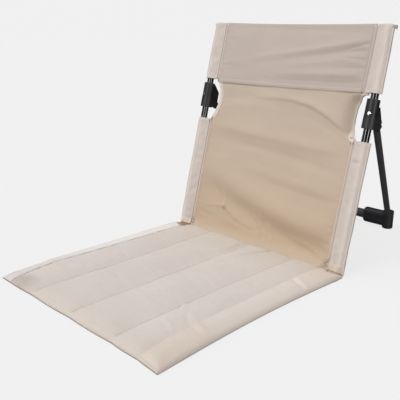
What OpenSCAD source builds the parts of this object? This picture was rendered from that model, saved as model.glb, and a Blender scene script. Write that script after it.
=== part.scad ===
// Folding beach chair: a low back rest with a quilted ground seat.
// Two upright tubes run inside the cloth sleeves of the back. A hinged rear stand of two converging
// struts, two moulded elbows and a cross tube holds them at their tilt. The quilted seat folds up
// against the back.
// The origin is the centre of the footprint on the ground. X runs across, Y to the rear, Z up.
// Back coordinates: x across, off behind the plane of the tube axes, h up along the tubes from the
// ground fold.

/* [Back frame] */
// Distance between the axes of the two upright tubes
upright_spacing = 376.8; // [340:0.2:420]
// Outside diameter of the upright tubes
tube_d = 13; // [11:0.5:14]
// Wall of the steel tubes
tube_wall = 1; // [0.8:0.1:1.5]
// Height along the slope of the upper end of each upright tube
tube_top_h = 421; // [400:1:440]
// Lean of the back from the vertical, in degrees
back_tilt = 14; // [11:0.5:17]
// Head of the plugs that close the tubes
plug_head = 3; // [2:0.5:5]
// Length of a plug inside its tube
plug_stem = 14; // [8:1:25]

/* [Connector] */
// Distance from the tube's upper end down to the connector's lower end
conn_drop = 166; // [160:1:175]
// Length of the connector's barrel
conn_len = 49; // [44:1:56]
// Outside diameter of the barrel
conn_d = 22.4; // [21:0.2:23]
// How far the barrel's upper half is set back
conn_ledge = 0.3; // [0.2:0.1:1]
// Length of the barrel's thicker lower half
conn_lower_len = 21; // [18:1:28]
// Distance of the pivot behind the tube axis
pivot_off = 19.5; // [19:0.5:22]
// Height of the pivot above the connector's lower end
pivot_up = 14; // [13.5:0.5:17]
// How far the ears and the strut's eye lie outwards from the tube's axis
eye_out = 1.2; // [0:0.1:1.4]
// Radius of the ear round the pivot
ear_r = 6; // [5.6:0.1:7]
// Thickness of each ear
ear_t = 3; // [2.5:0.5:4]
// Thickness of the web that joins the ears on top
web_t = 2; // [1.5:0.5:3]
// Where the ears leave the barrel, above the connector's lower end
ear_top_up = 38; // [32:1:42]
// Where the inner cheek's sloping top leaves the barrel, above the connector's lower end
cheek_top_up = 47; // [42:1:49]
// Where the inner cheek's upright rear edge begins, above the connector's lower end
cheek_rear_up = 33; // [26:1:38]
// How far the corner between that edge and the sloping top is cut off
cheek_chamfer = 2.5; // [1:0.5:4]
// Diameter of the pivot pin
pin_d = 4; // [3:0.5:5]
// Diameter of the pin's low inner head
pin_head_d = 7; // [6:0.5:9]
// Height of the pin's inner head
pin_head = 0.8; // [0.5:0.1:1.5]
// Diameter of the button on the pin's outer end
button_d = 10; // [7:0.5:11]
// Height of the button's straight rim
button_rim = 1.2; // [0.5:0.1:1.6]
// Height of the button's dome above its rim
button_dome = 1.1; // [0.5:0.1:1.4]

/* [Front rivet] */
// Height of the lower side of the rivet's head above the barrel's ledge
rivet_up = 0.5; // [0.2:0.1:8]
// How far the rivet is turned outwards from the front, in degrees
rivet_turn = 10; // [0:5:40]
// Diameter of a rivet's head
rivet_head_d = 6; // [5:0.5:7]
// Height of a rivet's domed head
rivet_head = 1.3; // [0.8:0.1:2]
// Diameter of a rivet's shank
rivet_d = 3; // [2.5:0.5:4]

/* [Rear stand] */
// Outside diameter of the struts
strut_d = 12; // [11:0.5:13]
// Distance between the foot bosses
foot_spacing = 244; // [200:2:300]
// Distance of the feet behind the ground fold
foot_back = 302; // [260:2:330]
// Height at which a strut's axis meets the axis of its boss
socket_z = 24.5; // [20:0.5:27]
// Diameter of a foot boss
boss_d = 22; // [20:0.5:25]
// Height of a foot boss
boss_len = 38; // [34:1:42]
// Rounding of the boss's lower edge
boss_round = 2.5; // [1:0.5:4]
// Depth of the elbow's arm from front to rear
arm_d = 21.5; // [21:0.1:21.9]
// Height of the elbow's arm
arm_h = 33; // [30:1:36]
// Height of the arm's middle above the ground
arm_z = 19; // [18.5:0.1:21]
// Reach of the arm inwards from the boss's axis
arm_len = 55; // [48:1:66]
// Outside diameter of the cross tube
cross_d = 19; // [17:0.5:19.5]
// Wall of the cross tube
cross_wall = 1.2; // [1:0.1:2]
// Depth of the cross tube inside each arm
cross_depth = 32; // [24:1:38]
// Width of the strut's eye between the ears
eye_w = 9; // [8:0.5:10]
// Radius of the strut's eye
eye_r = 5.4; // [5:0.1:5.6]
// Length of the eye's flat tongue from the pivot
tongue_len = 17; // [17:0.5:22]
// Length of the round collar between the tongue and the tube
collar_len = 4; // [3:0.5:8]
// Length of the eye's stem inside the strut
stem_len = 22; // [15:1:35]

/* [Back cloth] */
// How far the cloth runs out past each tube's axis
edge_over = 11.6; // [10:0.1:14]
// Width of each sleeve from its edge to its seam
sleeve_w = 33; // [30:1:38]
// Room between the plug on a tube's upper end and the closed end of the sleeve
top_room = 2.8; // [0.3:0.1:6]
// Thickness of the cloth in the model
cloth_t = 1.2; // [1:0.1:2]
// Height at which the left lower sleeve starts
left_sleeve_h = 9; // [5:1:20]
// Height at which the right lower sleeve starts
right_sleeve_h = 10; // [5:1:20]
// Distance of the side cut-outs below the upper edge
cut_drop = 115; // [110:1:119]
// Length of the side cut-outs along the slope
cut_len = 81; // [76:1:95]
// Depth of the left cut-out into the panel
left_cut = 13; // [8:1:28]
// Depth of the right cut-out into the panel
right_cut = 11; // [8:1:28]
// Depth of the head band from the upper edge down to its hem
head_len = 117; // [100:1:130]
// Diameter of the binding along the cut-outs
binding_d = 2.8; // [2:0.2:4]
// How far the panel sags to the rear between the tubes
back_sag = 5; // [0:0.5:8]
// Depth of the slack roll above the ground fold
roll_depth = 7; // [0:0.5:9]
// Breadth of that roll
roll_w = 24; // [18:1:36]
// Depth of the drag creases
crease_depth = 2.4; // [0:0.2:4]
// Breadth of the drag creases
crease_w = 13; // [10:1:20]
// Dip of the upper edge at its middle
top_dip = 2; // [0:0.5:5]

/* [Seat] */
// Length of the seat from the ground fold to its front edge
seat_len = 412; // [360:2:440]
// How far the front corners run out past the front edge
corner_out = 5; // [0:0.5:10]
// How far the side edges draw in at their middle
side_in = 8; // [0:0.5:10]
// Breadth of the band along each side edge
band_w = 42; // [36:1:48]
// Breadth of the channel inside each band
channel_w = 57; // [50:1:66]
// Height of the pad at its seams
seam_z = 10.6; // [10.4:0.1:13]
// Height of the pad at the crown of each channel
crown_z = 14; // [13:0.5:18]
// Height of the pad along its edges
edge_z = 3.6; // [3:0.2:6]
// Breadth over which the pad rounds down to its edges
edge_fall = 20; // [14:1:30]
// Thickness of the foam in each channel
foam_t = 7; // [4:0.5:7.4]
// Distance of the foam from the seams and the edges
foam_inset = 6; // [5:0.5:12]
// Distance of the foam from the front and rear edges
foam_end_inset = 26; // [24:1:40]

/* [Hidden] */

steel = "#232326";
plastic = "#1d1d20";
silver = "#c9c9cc";
cloth = "#cbbcaf";
panel_cloth = "#c3ae99";
head_cloth = "#bbada1";
seat_cloth = "#d4cac1";
foam = "#e8e2d4";

// Clearances and shared overruns
press_gap = 0.05;
side_gap = 0.25;
cloth_gap = 0.25;
overrun = 1;
round_fn = 64;

tube_r = tube_d / 2;
strut_r = strut_d / 2;
conn_r = conn_d / 2;
pin_r = pin_d / 2;
rivet_r = rivet_d / 2;
axis_x = upright_spacing / 2;
foot_x = foot_spacing / 2;
conn_bottom_h = tube_top_h - conn_drop;
conn_step_h = conn_bottom_h + conn_lower_len;
rivet_h = conn_step_h + rivet_up + rivet_head_d / 2;
pivot_h = conn_bottom_h + pivot_up;
ear_gap = eye_w + 2 * side_gap;
ear_span = ear_gap + 2 * ear_t;

// The plugs' rear rims touch the ground when the tubes lean back
plug_bottom_h = tube_r * tan(back_tilt);
tube_bottom_h = plug_bottom_h + plug_head;

// The footprint is centred on the origin, which places the ground fold
arm_side = arm_d / 2 - side_gap;
rear_reach = foot_back + max(arm_side + press_gap + rivet_head, boss_d / 2);
front_reach = seat_len + corner_out;
fold_y = (front_reach - rear_reach) / 2;

// Places in the world from back coordinates
function back_pt(x, off, h) = [
    x,
    fold_y + h * sin(back_tilt) + off * cos(back_tilt),
    h * cos(back_tilt) - off * sin(back_tilt)
];

// Strut line from the pivot to the point where it meets the boss's axis
eye_x = axis_x + eye_out;
pivot_pt = back_pt(eye_x, pivot_off, pivot_h);
socket_pt = [foot_x, fold_y + foot_back, socket_z];
strut_line = socket_pt - pivot_pt;
strut_reach = norm(strut_line);
strut_dir = strut_line / strut_reach;
strut_slope = acos(strut_dir.z);
strut_heading = atan2(strut_dir.y, strut_dir.x);
tongue_turn = -atan2(strut_dir.y, strut_dir.z);
strut_start = tongue_len - overrun + collar_len;
strut_end = strut_reach + strut_r / 3;

// Point where a line from p touches the circle round c, to its left (side 1) or right (side -1)
function touch(p, c, r, side) =
    let (v = p - c, a = atan2(v.y, v.x) + side * acos(r / norm(v)))
    c + r * [cos(a), sin(a)];

function smooth(t) = let (s = min(max(t, 0), 1)) s * s * (3 - 2 * s);
function bell(t) = exp(-t * t);

module in_back() {
    translate([0, fold_y, 0]) rotate([-back_tilt, 0, 0]) children();
}

// Places a right-hand piece on the chosen side
module on_side(side) {
    if (side > 0) {
        children();
    } else {
        mirror([1, 0, 0]) children();
    }
}

// Turns a flat outline in (off, h) into a plate across x
module plate_across(thick) {
    rotate([90, 0, 90]) linear_extrude(height = thick, center = true) children();
}

module along_strut(start) {
    translate(pivot_pt) rotate([0, strut_slope, strut_heading]) translate([0, 0, start]) children();
}

// Closed solid between two grids of points, rows of the same length
module grid_solid(front, rear, rows, cols) {
    count = rows * cols;
    faces = concat(
        [for (r = [0:rows - 2]) for (c = [0:cols - 2]) [r * cols + c, r * cols + c + 1, (r + 1) * cols + c]],
        [for (r = [0:rows - 2]) for (c = [0:cols - 2])
            [r * cols + c + 1, (r + 1) * cols + c + 1, (r + 1) * cols + c]],
        [for (r = [0:rows - 2]) for (c = [0:cols - 2])
            [count + r * cols + c, count + (r + 1) * cols + c, count + r * cols + c + 1]],
        [for (r = [0:rows - 2]) for (c = [0:cols - 2])
            [count + r * cols + c + 1, count + (r + 1) * cols + c, count + (r + 1) * cols + c + 1]],
        [for (c = [0:cols - 2]) [c, count + c, c + 1]],
        [for (c = [0:cols - 2]) [c + 1, count + c, count + c + 1]],
        [for (c = [0:cols - 2]) let (b = (rows - 1) * cols + c) [b, b + 1, count + b]],
        [for (c = [0:cols - 2]) let (b = (rows - 1) * cols + c) [b + 1, count + b + 1, count + b]],
        [for (r = [0:rows - 2]) let (b = r * cols) [b, b + cols, count + b]],
        [for (r = [0:rows - 2]) let (b = r * cols) [b + cols, count + b + cols, count + b]],
        [for (r = [0:rows - 2]) let (b = r * cols + cols - 1) [b, count + b, b + cols]],
        [for (r = [0:rows - 2]) let (b = r * cols + cols - 1) [b + cols, count + b, count + b + cols]]
    );
    polyhedron(points = concat(front, rear), faces = faces, convexity = 8);
}

// Back frame

module upright(side) {
    color(steel) in_back() on_side(side) translate([axis_x, 0, tube_bottom_h]) difference() {
        cylinder(r = tube_r, h = tube_top_h - tube_bottom_h, $fn = round_fn);
        translate([0, 0, -overrun])
            cylinder(r = tube_r - tube_wall, h = tube_top_h - tube_bottom_h + 2 * overrun, $fn = round_fn);
        translate([0, 0, rivet_h - tube_bottom_h]) rotate([90, 0, rivet_turn])
            cylinder(r = rivet_r + press_gap, h = tube_r + overrun, $fn = round_fn);
    }
}

// A plug whose head lies below its stem
module plug() {
    cylinder(r = tube_r, h = plug_head, $fn = round_fn);
    translate([0, 0, plug_head]) cylinder(r = tube_r - tube_wall - press_gap, h = plug_stem, $fn = round_fn);
}

module upright_top_plugs() {
    color(plastic) in_back() for (side = [-1, 1])
        translate([side * axis_x, 0, tube_top_h + plug_head]) mirror([0, 0, 1]) plug();
}

module upright_foot_plugs() {
    color(plastic) in_back() for (side = [-1, 1])
        translate([side * axis_x, 0, plug_bottom_h]) plug();
}

// Connector

pivot_place = [pivot_off, pivot_h];
ear_line_r = ear_r - press_gap;
ear_top_place = [conn_r - conn_ledge, conn_bottom_h + ear_top_up];
ear_low_place = [conn_r - conn_ledge, conn_bottom_h];
ear_top_touch = touch(ear_top_place, pivot_place, ear_line_r, -1);
ear_low_touch = touch(ear_low_place, pivot_place, ear_line_r, 1);
web_dir = (ear_top_touch - ear_top_place) / norm(ear_top_touch - ear_top_place);
web_inward = web_t * [web_dir.y, -web_dir.x];

module ear_outline() {
    translate(pivot_place) circle(r = ear_r, $fn = round_fn);
    polygon([
        [tube_r, ear_low_place.y], ear_low_place, ear_low_touch, pivot_place,
        ear_top_touch, ear_top_place, [tube_r, ear_top_place.y]
    ]);
}

// The taller cheek on the inner side covers the strut's end from the front
module cheek_outline() {
    rear_off = pivot_off + ear_r;
    rear_top_h = conn_bottom_h + cheek_rear_up;
    ear_outline();
    polygon([
        [tube_r, ear_low_place.y], pivot_place, [rear_off, pivot_h], [rear_off, rear_top_h],
        [rear_off - cheek_chamfer, rear_top_h + cheek_chamfer],
        [ear_top_place.x, conn_bottom_h + cheek_top_up], [tube_r, conn_bottom_h + cheek_top_up]
    ]);
}

// The web's lower end stands across the tongue's upper face and stops the stand when it is open
module web_outline() {
    stop_outer = ear_top_touch - 3 * side_gap * web_dir;
    stop_inner = ear_top_touch + web_inward - (eye_r + 3 * side_gap) * web_dir;
    polygon([
        ear_top_place, stop_outer, stop_inner,
        [tube_r, (ear_top_place + web_inward).y], [tube_r, ear_top_place.y]
    ]);
}

module connector(side) {
    color(plastic) in_back() on_side(side) translate([axis_x, 0, 0]) difference() {
        union() {
            translate([0, 0, conn_bottom_h]) cylinder(r = conn_r, h = conn_lower_len, $fn = round_fn);
            translate([0, 0, conn_step_h])
                cylinder(r = conn_r - conn_ledge, h = conn_len - conn_lower_len, $fn = round_fn);
            translate([eye_out + (ear_gap + ear_t) / 2, 0, 0]) plate_across(ear_t) ear_outline();
            translate([eye_out - (ear_gap + ear_t) / 2, 0, 0]) plate_across(ear_t) cheek_outline();
            translate([eye_out, 0, 0]) plate_across(ear_gap + ear_t) web_outline();
        }
        translate([0, 0, conn_bottom_h - overrun])
            cylinder(r = tube_r + press_gap, h = conn_len + 2 * overrun, $fn = round_fn);
        translate([eye_out - ear_span / 2 - overrun, pivot_off, pivot_h]) rotate([0, 90, 0])
            cylinder(r = pin_r + press_gap, h = ear_span + 2 * overrun, $fn = round_fn);
        translate([0, 0, rivet_h]) rotate([90, 0, rivet_turn])
            cylinder(r = rivet_r + press_gap, h = conn_r + overrun, $fn = round_fn);
    }
}

// A dome of diameter d and height h, whose rim lies at z = 0
module dome(d, h) {
    dome_r = (d * d / 4 + h * h) / (2 * h);
    rotate_extrude($fn = round_fn) intersection() {
        translate([0, h - dome_r]) circle(r = dome_r, $fn = round_fn);
        square([d / 2, h]);
    }
}

// A rivet along +z with a domed head, whose neck lies at z = 0
module rivet(shank) {
    translate([0, 0, -shank]) cylinder(r = rivet_r, h = shank, $fn = round_fn);
    dome(rivet_head_d, rivet_head);
}

module connector_rivets() {
    color(silver) in_back() for (side = [-1, 1]) on_side(side)
        translate([axis_x, 0, rivet_h]) rotate([90, 0, rivet_turn])
            translate([0, 0, conn_r - conn_ledge + press_gap]) rivet(conn_r - tube_r + 2 * tube_wall);
}

module pivot_pins() {
    color(steel) in_back() for (side = [-1, 1]) on_side(side)
        translate([eye_x, pivot_off, pivot_h]) rotate([0, 90, 0]) {
            translate([0, 0, -ear_span / 2]) cylinder(r = pin_r, h = ear_span, $fn = round_fn);
            translate([0, 0, -ear_span / 2 - pin_head])
                cylinder(r = pin_head_d / 2, h = pin_head, $fn = round_fn);
            translate([0, 0, ear_span / 2]) cylinder(r = button_d / 2, h = button_rim, $fn = round_fn);
            translate([0, 0, ear_span / 2 + button_rim]) dome(button_d, button_dome);
        }
}

// Back cloth

cover_half = axis_x + edge_over;
panel_half = cover_half - sleeve_w;
sleeve_inner = axis_x - panel_half;
cloth_half = cloth_t / 2;
sleeve_r = tube_r + cloth_gap + cloth_t;
cloth_top_h = tube_top_h + plug_head + top_room + cloth_t;
cut_top_h = cloth_top_h - cut_drop;
cut_bottom_h = cut_top_h - cut_len;
head_hem_h = cloth_top_h - head_len;
panel_bottom_h = cloth_t * 2.5;

module sleeve_outline(r, lip) {
    outer = [edge_over - (sleeve_r - r), lip];
    inner = [-sleeve_inner + (sleeve_r - r), lip];
    outer_touch = touch(outer, [0, 0], r, 1);
    inner_touch = touch(inner, [0, 0], r, -1);
    rear = [outer, outer_touch, inner_touch, inner];
    circle(r = r, $fn = round_fn);
    polygon(concat(rear, [for (k = [3:-1:0]) [rear[k].x, -rear[k].y]]));
}

module sleeve(side, from_h, to_h, closed) {
    cap = closed ? cloth_t : -overrun;
    color(cloth) in_back() on_side(side) translate([axis_x, 0, from_h]) difference() {
        linear_extrude(height = to_h - from_h) sleeve_outline(sleeve_r, cloth_t + cloth_gap);
        translate([0, 0, -overrun]) linear_extrude(height = to_h - from_h + overrun - cap)
            sleeve_outline(tube_r + cloth_gap, cloth_gap);
    }
}

// Edge of the panel on one side, drawn in at the cut-out
function cut_in(h, depth) =
    let (t = (h - cut_bottom_h) / cut_len)
    (t <= 0 || t >= 1) ? 0 : depth * (1 - pow(abs(2 * t - 1), 2.5));
function panel_edge(h, side) = panel_half - cloth_gap - cut_in(h, side < 0 ? left_cut : right_cut);

// Creases run from one place to another, as shares of the panel's half width and height.
// The last two shares scale the depth and the breadth.
crease_shares = [
    [1.00, 0.545, 0.30, 0.675, 1.0, 1.0],
    [0.95, 0.560, 0.10, 0.560, 0.6, 1.4],
    [-0.78, 0.257, -0.36, 0.110, 0.8, 0.7],
    [-0.95, 0.480, -0.35, 0.400, -0.6, 1.6]
];
head_crease_shares = [
    [0.98, 0.935, -0.30, 0.876, 0.6, 0.7],
    [0.98, 0.900, 0.10, 0.860, -0.6, 0.6],
    [0.98, 0.864, 0.20, 0.820, 0.6, 0.7],
    [0.98, 0.818, -0.20, 0.775, -0.5, 0.8]
];

function along_share(p, a, b) = let (v = b - a) min(max(((p - a) * v) / (v * v), 0), 1);
function crease(p, s) =
    let (
        a = [s[0] * panel_half, s[1] * cloth_top_h],
        b = [s[2] * panel_half, s[3] * cloth_top_h],
        t = along_share(p, a, b)
    )
    crease_depth * s[4] * (1 - 0.8 * t) * bell(norm(p - a - t * (b - a)) / (crease_w * s[5]));
function creases(p, table) = let (parts = [for (s = table) crease(p, s)]) parts * [for (s = table) 1];

// The slack cloth rolls forward above a slanting line and hollows below it
roll_mid_share = 0.2;
roll_slant_share = -0.095;
function roll(x, h) =
    let (
        line_h = cloth_top_h * (roll_mid_share + roll_slant_share * x / panel_half),
        s = (h - line_h) / roll_w
    )
    roll_depth * (0.8 * bell(s + 0.9) - bell(s - 0.9));

// How far the panel stands behind the plane of the tube axes
function panel_off(x, h) =
    let (
        side_room = 1 - pow(abs(x) / panel_half, 4),
        end_room = smooth((h - panel_bottom_h) / roll_w)
    )
    side_room * end_room * (
        back_sag * sin(180 * min(h / cut_top_h, 1)) + roll(x, h) + creases([x, h], crease_shares)
    );
function head_off(x, h) =
    let (
        side_room = 1 - pow(abs(x) / panel_half, 6),
        pulls = creases([x, h], head_crease_shares) / max(crease_depth, cloth_gap)
    )
    panel_off(x, h) - cloth_t - cloth_gap - side_room * crease_depth * (0.7 + 0.5 * pulls);
function top_h(x) = cloth_top_h - top_dip * (1 - pow(x / panel_half, 2));

// Rows of the panel: below the cut-outs, along them and above them
panel_cols = 19;
cut_steps = 9;
lower_row_shares = [
    0, 0.065, 0.13, 0.195, 0.26, 0.325, 0.39, 0.455, 0.52, 0.585, 0.66, 0.745, 0.83, 0.92
];
upper_row_shares = [0.25, 0.5, 0.75, 1];
cut_row_hs = [for (k = [0:cut_steps])
    cut_bottom_h + binding_d + (cut_len - 2 * binding_d) * k / cut_steps];
panel_row_hs = concat(
    [for (s = lower_row_shares) panel_bottom_h + s * (cut_bottom_h - panel_bottom_h)],
    [cut_bottom_h], cut_row_hs, [cut_top_h],
    [for (s = upper_row_shares) cut_top_h + s * (cloth_top_h - cut_top_h)]
);

// Point of the panel at share u of its width and height h, which dips with the upper edge
function panel_pt(u, h, lift) =
    let (
        left = -panel_edge(h, -1),
        x = left + u * (panel_edge(h, 1) - left),
        h_here = h * top_h(x) / cloth_top_h
    )
    [x, panel_off(x, h_here) + lift, h_here];

module back_panel() {
    rows = len(panel_row_hs);
    front = [for (h = panel_row_hs) for (c = [0:panel_cols - 1])
        panel_pt(c / (panel_cols - 1), h, -cloth_half)];
    rear = [for (h = panel_row_hs) for (c = [0:panel_cols - 1])
        panel_pt(c / (panel_cols - 1), h, cloth_half)];
    color(panel_cloth) in_back() grid_solid(front, rear, rows, panel_cols);
}

head_cols = 17;
head_row_shares = [0, 0.1, 0.2, 0.3, 0.4, 0.5, 0.6, 0.7, 0.8, 0.9, 1];

function head_pt(u, v, lift) =
    let (
        x = (2 * u - 1) * (panel_half - cloth_gap),
        h = head_hem_h + v * (top_h(x) - head_hem_h)
    )
    [x, head_off(x, h) + lift, h];

module head_band() {
    rows = len(head_row_shares);
    front = [for (v = head_row_shares) for (c = [0:head_cols - 1])
        head_pt(c / (head_cols - 1), v, -cloth_half)];
    rear = [for (v = head_row_shares) for (c = [0:head_cols - 1])
        head_pt(c / (head_cols - 1), v, cloth_half)];
    color(head_cloth) in_back() grid_solid(front, rear, rows, head_cols);
}

// Bound edge of a cut-out, a thin bead that runs beside the panel's edge from row to row
binding_sides = 8;

module cutout_binding(side) {
    n = binding_sides;
    r = binding_d / 2;
    edge = [for (h = cut_row_hs) panel_pt(side < 0 ? 0 : 1, h, 0)];
    rings = [for (k = [0:cut_steps])
        let (
            ahead = edge[min(k + 1, cut_steps)] - edge[max(k - 1, 0)],
            run = ahead / norm(ahead),
            across = [run.z, 0, -run.x] / norm([run.z, 0, -run.x]),
            up = cross(run, across),
            mid = edge[k] + side * (cloth_gap + r) * across
        )
        for (a = [0:n - 1]) mid + r * (across * cos(a * 360 / n) + up * sin(a * 360 / n))
    ];
    last = cut_steps * n;
    faces = concat(
        [for (k = [0:cut_steps - 1]) for (a = [0:n - 1])
            [k * n + a, (k + 1) * n + a, k * n + (a + 1) % n]],
        [for (k = [0:cut_steps - 1]) for (a = [0:n - 1])
            [k * n + (a + 1) % n, (k + 1) * n + a, (k + 1) * n + (a + 1) % n]],
        [for (a = [1:n - 2]) [0, a, a + 1]],
        [for (a = [1:n - 2]) [last, last + a + 1, last + a]]
    );
    color(cloth) in_back() polyhedron(points = rings, faces = faces, convexity = 4);
}

// Rear stand

module strut(side) {
    color(steel) on_side(side) along_strut(strut_start) difference() {
        cylinder(r = strut_r, h = strut_end - strut_start, $fn = round_fn);
        translate([0, 0, -overrun])
            cylinder(r = strut_r - tube_wall, h = strut_end - strut_start + 2 * overrun, $fn = round_fn);
    }
}

module strut_eye(side) {
    color(plastic) on_side(side) difference() {
        union() {
            translate(pivot_pt) rotate([tongue_turn, 0, 0]) {
                rotate([0, 90, 0]) cylinder(r = eye_r, h = eye_w, center = true, $fn = round_fn);
                translate([-eye_w / 2, -eye_r, 0]) cube([eye_w, 2 * eye_r, tongue_len]);
            }
            along_strut(tongue_len - overrun) cylinder(r = strut_r, h = collar_len, $fn = round_fn);
            along_strut(tongue_len) cylinder(
                r = strut_r - tube_wall - press_gap, h = collar_len + stem_len, $fn = round_fn
            );
        }
        translate(pivot_pt) rotate([0, 90, 0])
            cylinder(r = pin_r + press_gap, h = eye_w + 2 * overrun, center = true, $fn = round_fn);
    }
}

// Body of revolution with rounded ends, from z = 0 up
module rounded_bar(r, len, low_round, top_round) {
    rotate_extrude($fn = round_fn) intersection() {
        square([r, len]);
        union() {
            translate([0, low_round]) square([r, len - low_round - top_round]);
            square([r - low_round, len]);
            square([r - top_round, len]);
            translate([r - low_round, low_round]) circle(r = low_round, $fn = round_fn);
            translate([r - top_round, len - top_round]) circle(r = top_round, $fn = round_fn);
        }
    }
}

arm_r = arm_d / 2;
arm_round = arm_r / 2;
arm_outer_x = foot_x + boss_d / 5;
arm_inner_x = foot_x - arm_len;
cross_end_x = arm_inner_x + cross_depth;
cross_rivet_x = arm_inner_x + cross_depth / 2;

// The arm is two rounded bars, one above the other, with a slab between them
arm_rise = (arm_h - arm_d) / 2;

module arm_bar(z) {
    translate([arm_inner_x, fold_y + foot_back, z]) rotate([0, 90, 0])
        rounded_bar(arm_r, arm_outer_x - arm_inner_x, arm_round, arm_round);
}

module elbow(side) {
    color(plastic) on_side(side) difference() {
        union() {
            translate([foot_x, fold_y + foot_back, 0])
                rounded_bar(boss_d / 2, boss_len, boss_round, boss_round / 2);
            arm_bar(arm_z - arm_rise);
            arm_bar(arm_z + arm_rise);
            translate([arm_inner_x + arm_round, fold_y + foot_back - arm_side, arm_z - arm_rise])
                cube([arm_outer_x - arm_inner_x - 2 * arm_round, 2 * arm_side, 2 * arm_rise]);
        }
        translate([arm_inner_x - overrun, fold_y + foot_back, arm_z]) rotate([0, 90, 0])
            cylinder(r = cross_d / 2 + press_gap, h = cross_depth + overrun, $fn = round_fn);
        along_strut(strut_reach / 2)
            cylinder(r = strut_r + press_gap, h = strut_end - strut_reach / 2, $fn = round_fn);
        translate([cross_rivet_x, fold_y + foot_back, arm_z]) rotate([-90, 0, 0])
            cylinder(r = rivet_r + press_gap, h = arm_r + overrun, $fn = round_fn);
    }
}

module cross_tube() {
    color(steel) translate([0, fold_y + foot_back, arm_z]) difference() {
        rotate([0, 90, 0]) cylinder(r = cross_d / 2, h = 2 * cross_end_x, center = true, $fn = round_fn);
        rotate([0, 90, 0]) cylinder(
            r = cross_d / 2 - cross_wall, h = 2 * cross_end_x + 2 * overrun, center = true, $fn = round_fn
        );
        for (side = [-1, 1]) translate([side * cross_rivet_x, 0, 0]) rotate([-90, 0, 0])
            cylinder(r = rivet_r + press_gap, h = cross_d / 2 + overrun, $fn = round_fn);
    }
}

module elbow_rivets() {
    color(silver) for (side = [-1, 1]) translate([side * cross_rivet_x, fold_y + foot_back, arm_z])
        rotate([-90, 0, 0]) translate([0, 0, arm_side + press_gap])
            rivet(arm_side - cross_d / 2 + 2 * cross_wall);
}

// Seat

// Rear edge of the pad, drawn forward past the upright tubes
rear_clear = 0.3;
band_clear = sleeve_r + cloth_t;
band_x = cover_half - band_w;
quilt_x = band_x - channel_w;
function seat_rear(x) = -rear_clear - band_clear * smooth((abs(x) - panel_half + tube_d) / tube_d);
function seat_front(x) = -seat_len - corner_out * pow(abs(x) / cover_half, 6);
function seat_half(v) = cover_half - side_in * sin(180 * v);
function seat_place(s, v) =
    let (x = s * seat_half(v), rear = seat_rear(x), front = seat_front(x))
    [x, rear + v * (front - rear)];

// Crown of the channel that holds a place across the width
function channel_rise(x) =
    let (
        a = abs(x),
        low = a < quilt_x ? 0 : (a < band_x ? quilt_x : band_x),
        high = a < quilt_x ? quilt_x : (a < band_x ? band_x : cover_half),
        t = min((a - low) / (high - low), 1)
    )
    1 - pow(2 * t - 1, 2);
function pad_level(x) = seam_z + (crown_z - seam_z) * channel_rise(x);
function edge_rise(d) = let (t = min(max(d / edge_fall, 0), 1)) sqrt(1 - (1 - t) * (1 - t));
function seat_top(s, v) =
    let (
        p = seat_place(s, v),
        to_side = seat_half(v) * (1 - abs(s)),
        to_front = p.y - seat_front(p.x),
        to_rear = seat_rear(p.x) - p.y,
        rise = edge_rise(to_side) * edge_rise(to_front) * edge_rise(to_rear + edge_fall / 4)
    )
    edge_z + (pad_level(p.x) - edge_z) * rise;

base_t = cloth_t;
cover_in_z = base_t + cloth_gap / 2;
band_share = band_x / cover_half;
quilt_share = quilt_x / cover_half;
half_col_shares = concat(
    [for (k = [0:4]) quilt_share * k / 5],
    [for (k = [0:3]) quilt_share + (band_share - quilt_share) * k / 4],
    [band_share, 0.89, 0.935, 0.975, 1]
);
seat_col_shares = concat([for (k = [len(half_col_shares) - 1:-1:1]) -half_col_shares[k]], half_col_shares);
seat_row_shares = [0, 0.012, 0.03, 0.06, 0.15, 0.28, 0.42, 0.56, 0.70, 0.83, 0.92, 0.96, 0.98, 0.993, 1];

module seat_cover() {
    rows = len(seat_row_shares);
    cols = len(seat_col_shares);
    top = [for (v = seat_row_shares) for (s = seat_col_shares)
        let (p = seat_place(s, v)) [p.x, p.y, seat_top(s, v)]];
    under = [for (v = seat_row_shares) for (s = seat_col_shares)
        let (p = seat_place(s, v), rim = abs(s) == 1 || v == 0 || v == 1)
        [p.x, p.y, rim ? cover_in_z : max(cover_in_z, seat_top(s, v) - cloth_t)]];
    color(seat_cloth) translate([0, fold_y, 0]) grid_solid(top, under, rows, cols);
}

module foam_slab(from_x, to_x) {
    translate([from_x, -seat_len + foam_end_inset, base_t + cloth_gap / 2])
        cube([to_x - from_x, seat_len - 2 * foam_end_inset, foam_t]);
}

module seat_foam() {
    color(foam) translate([0, fold_y, 0]) {
        for (side = [-1, 1]) on_side(side) {
            foam_slab(foam_inset, quilt_x - foam_inset);
            foam_slab(quilt_x + foam_inset, band_x - foam_inset);
        }
    }
}

module seat_base() {
    side_steps = [for (k = [0:12]) k / 12];
    across = [for (k = [0:20]) 2 * k / 20 - 1];
    outline = concat(
        [for (s = across) seat_place(s, 0)],
        [for (v = side_steps) if (v > 0 && v < 1) seat_place(1, v)],
        [for (s = across) seat_place(-s, 1)],
        [for (v = side_steps) if (v > 0 && v < 1) seat_place(-1, 1 - v)]
    );
    color(seat_cloth) translate([0, fold_y, 0]) linear_extrude(height = base_t) polygon(outline);
}

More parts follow.
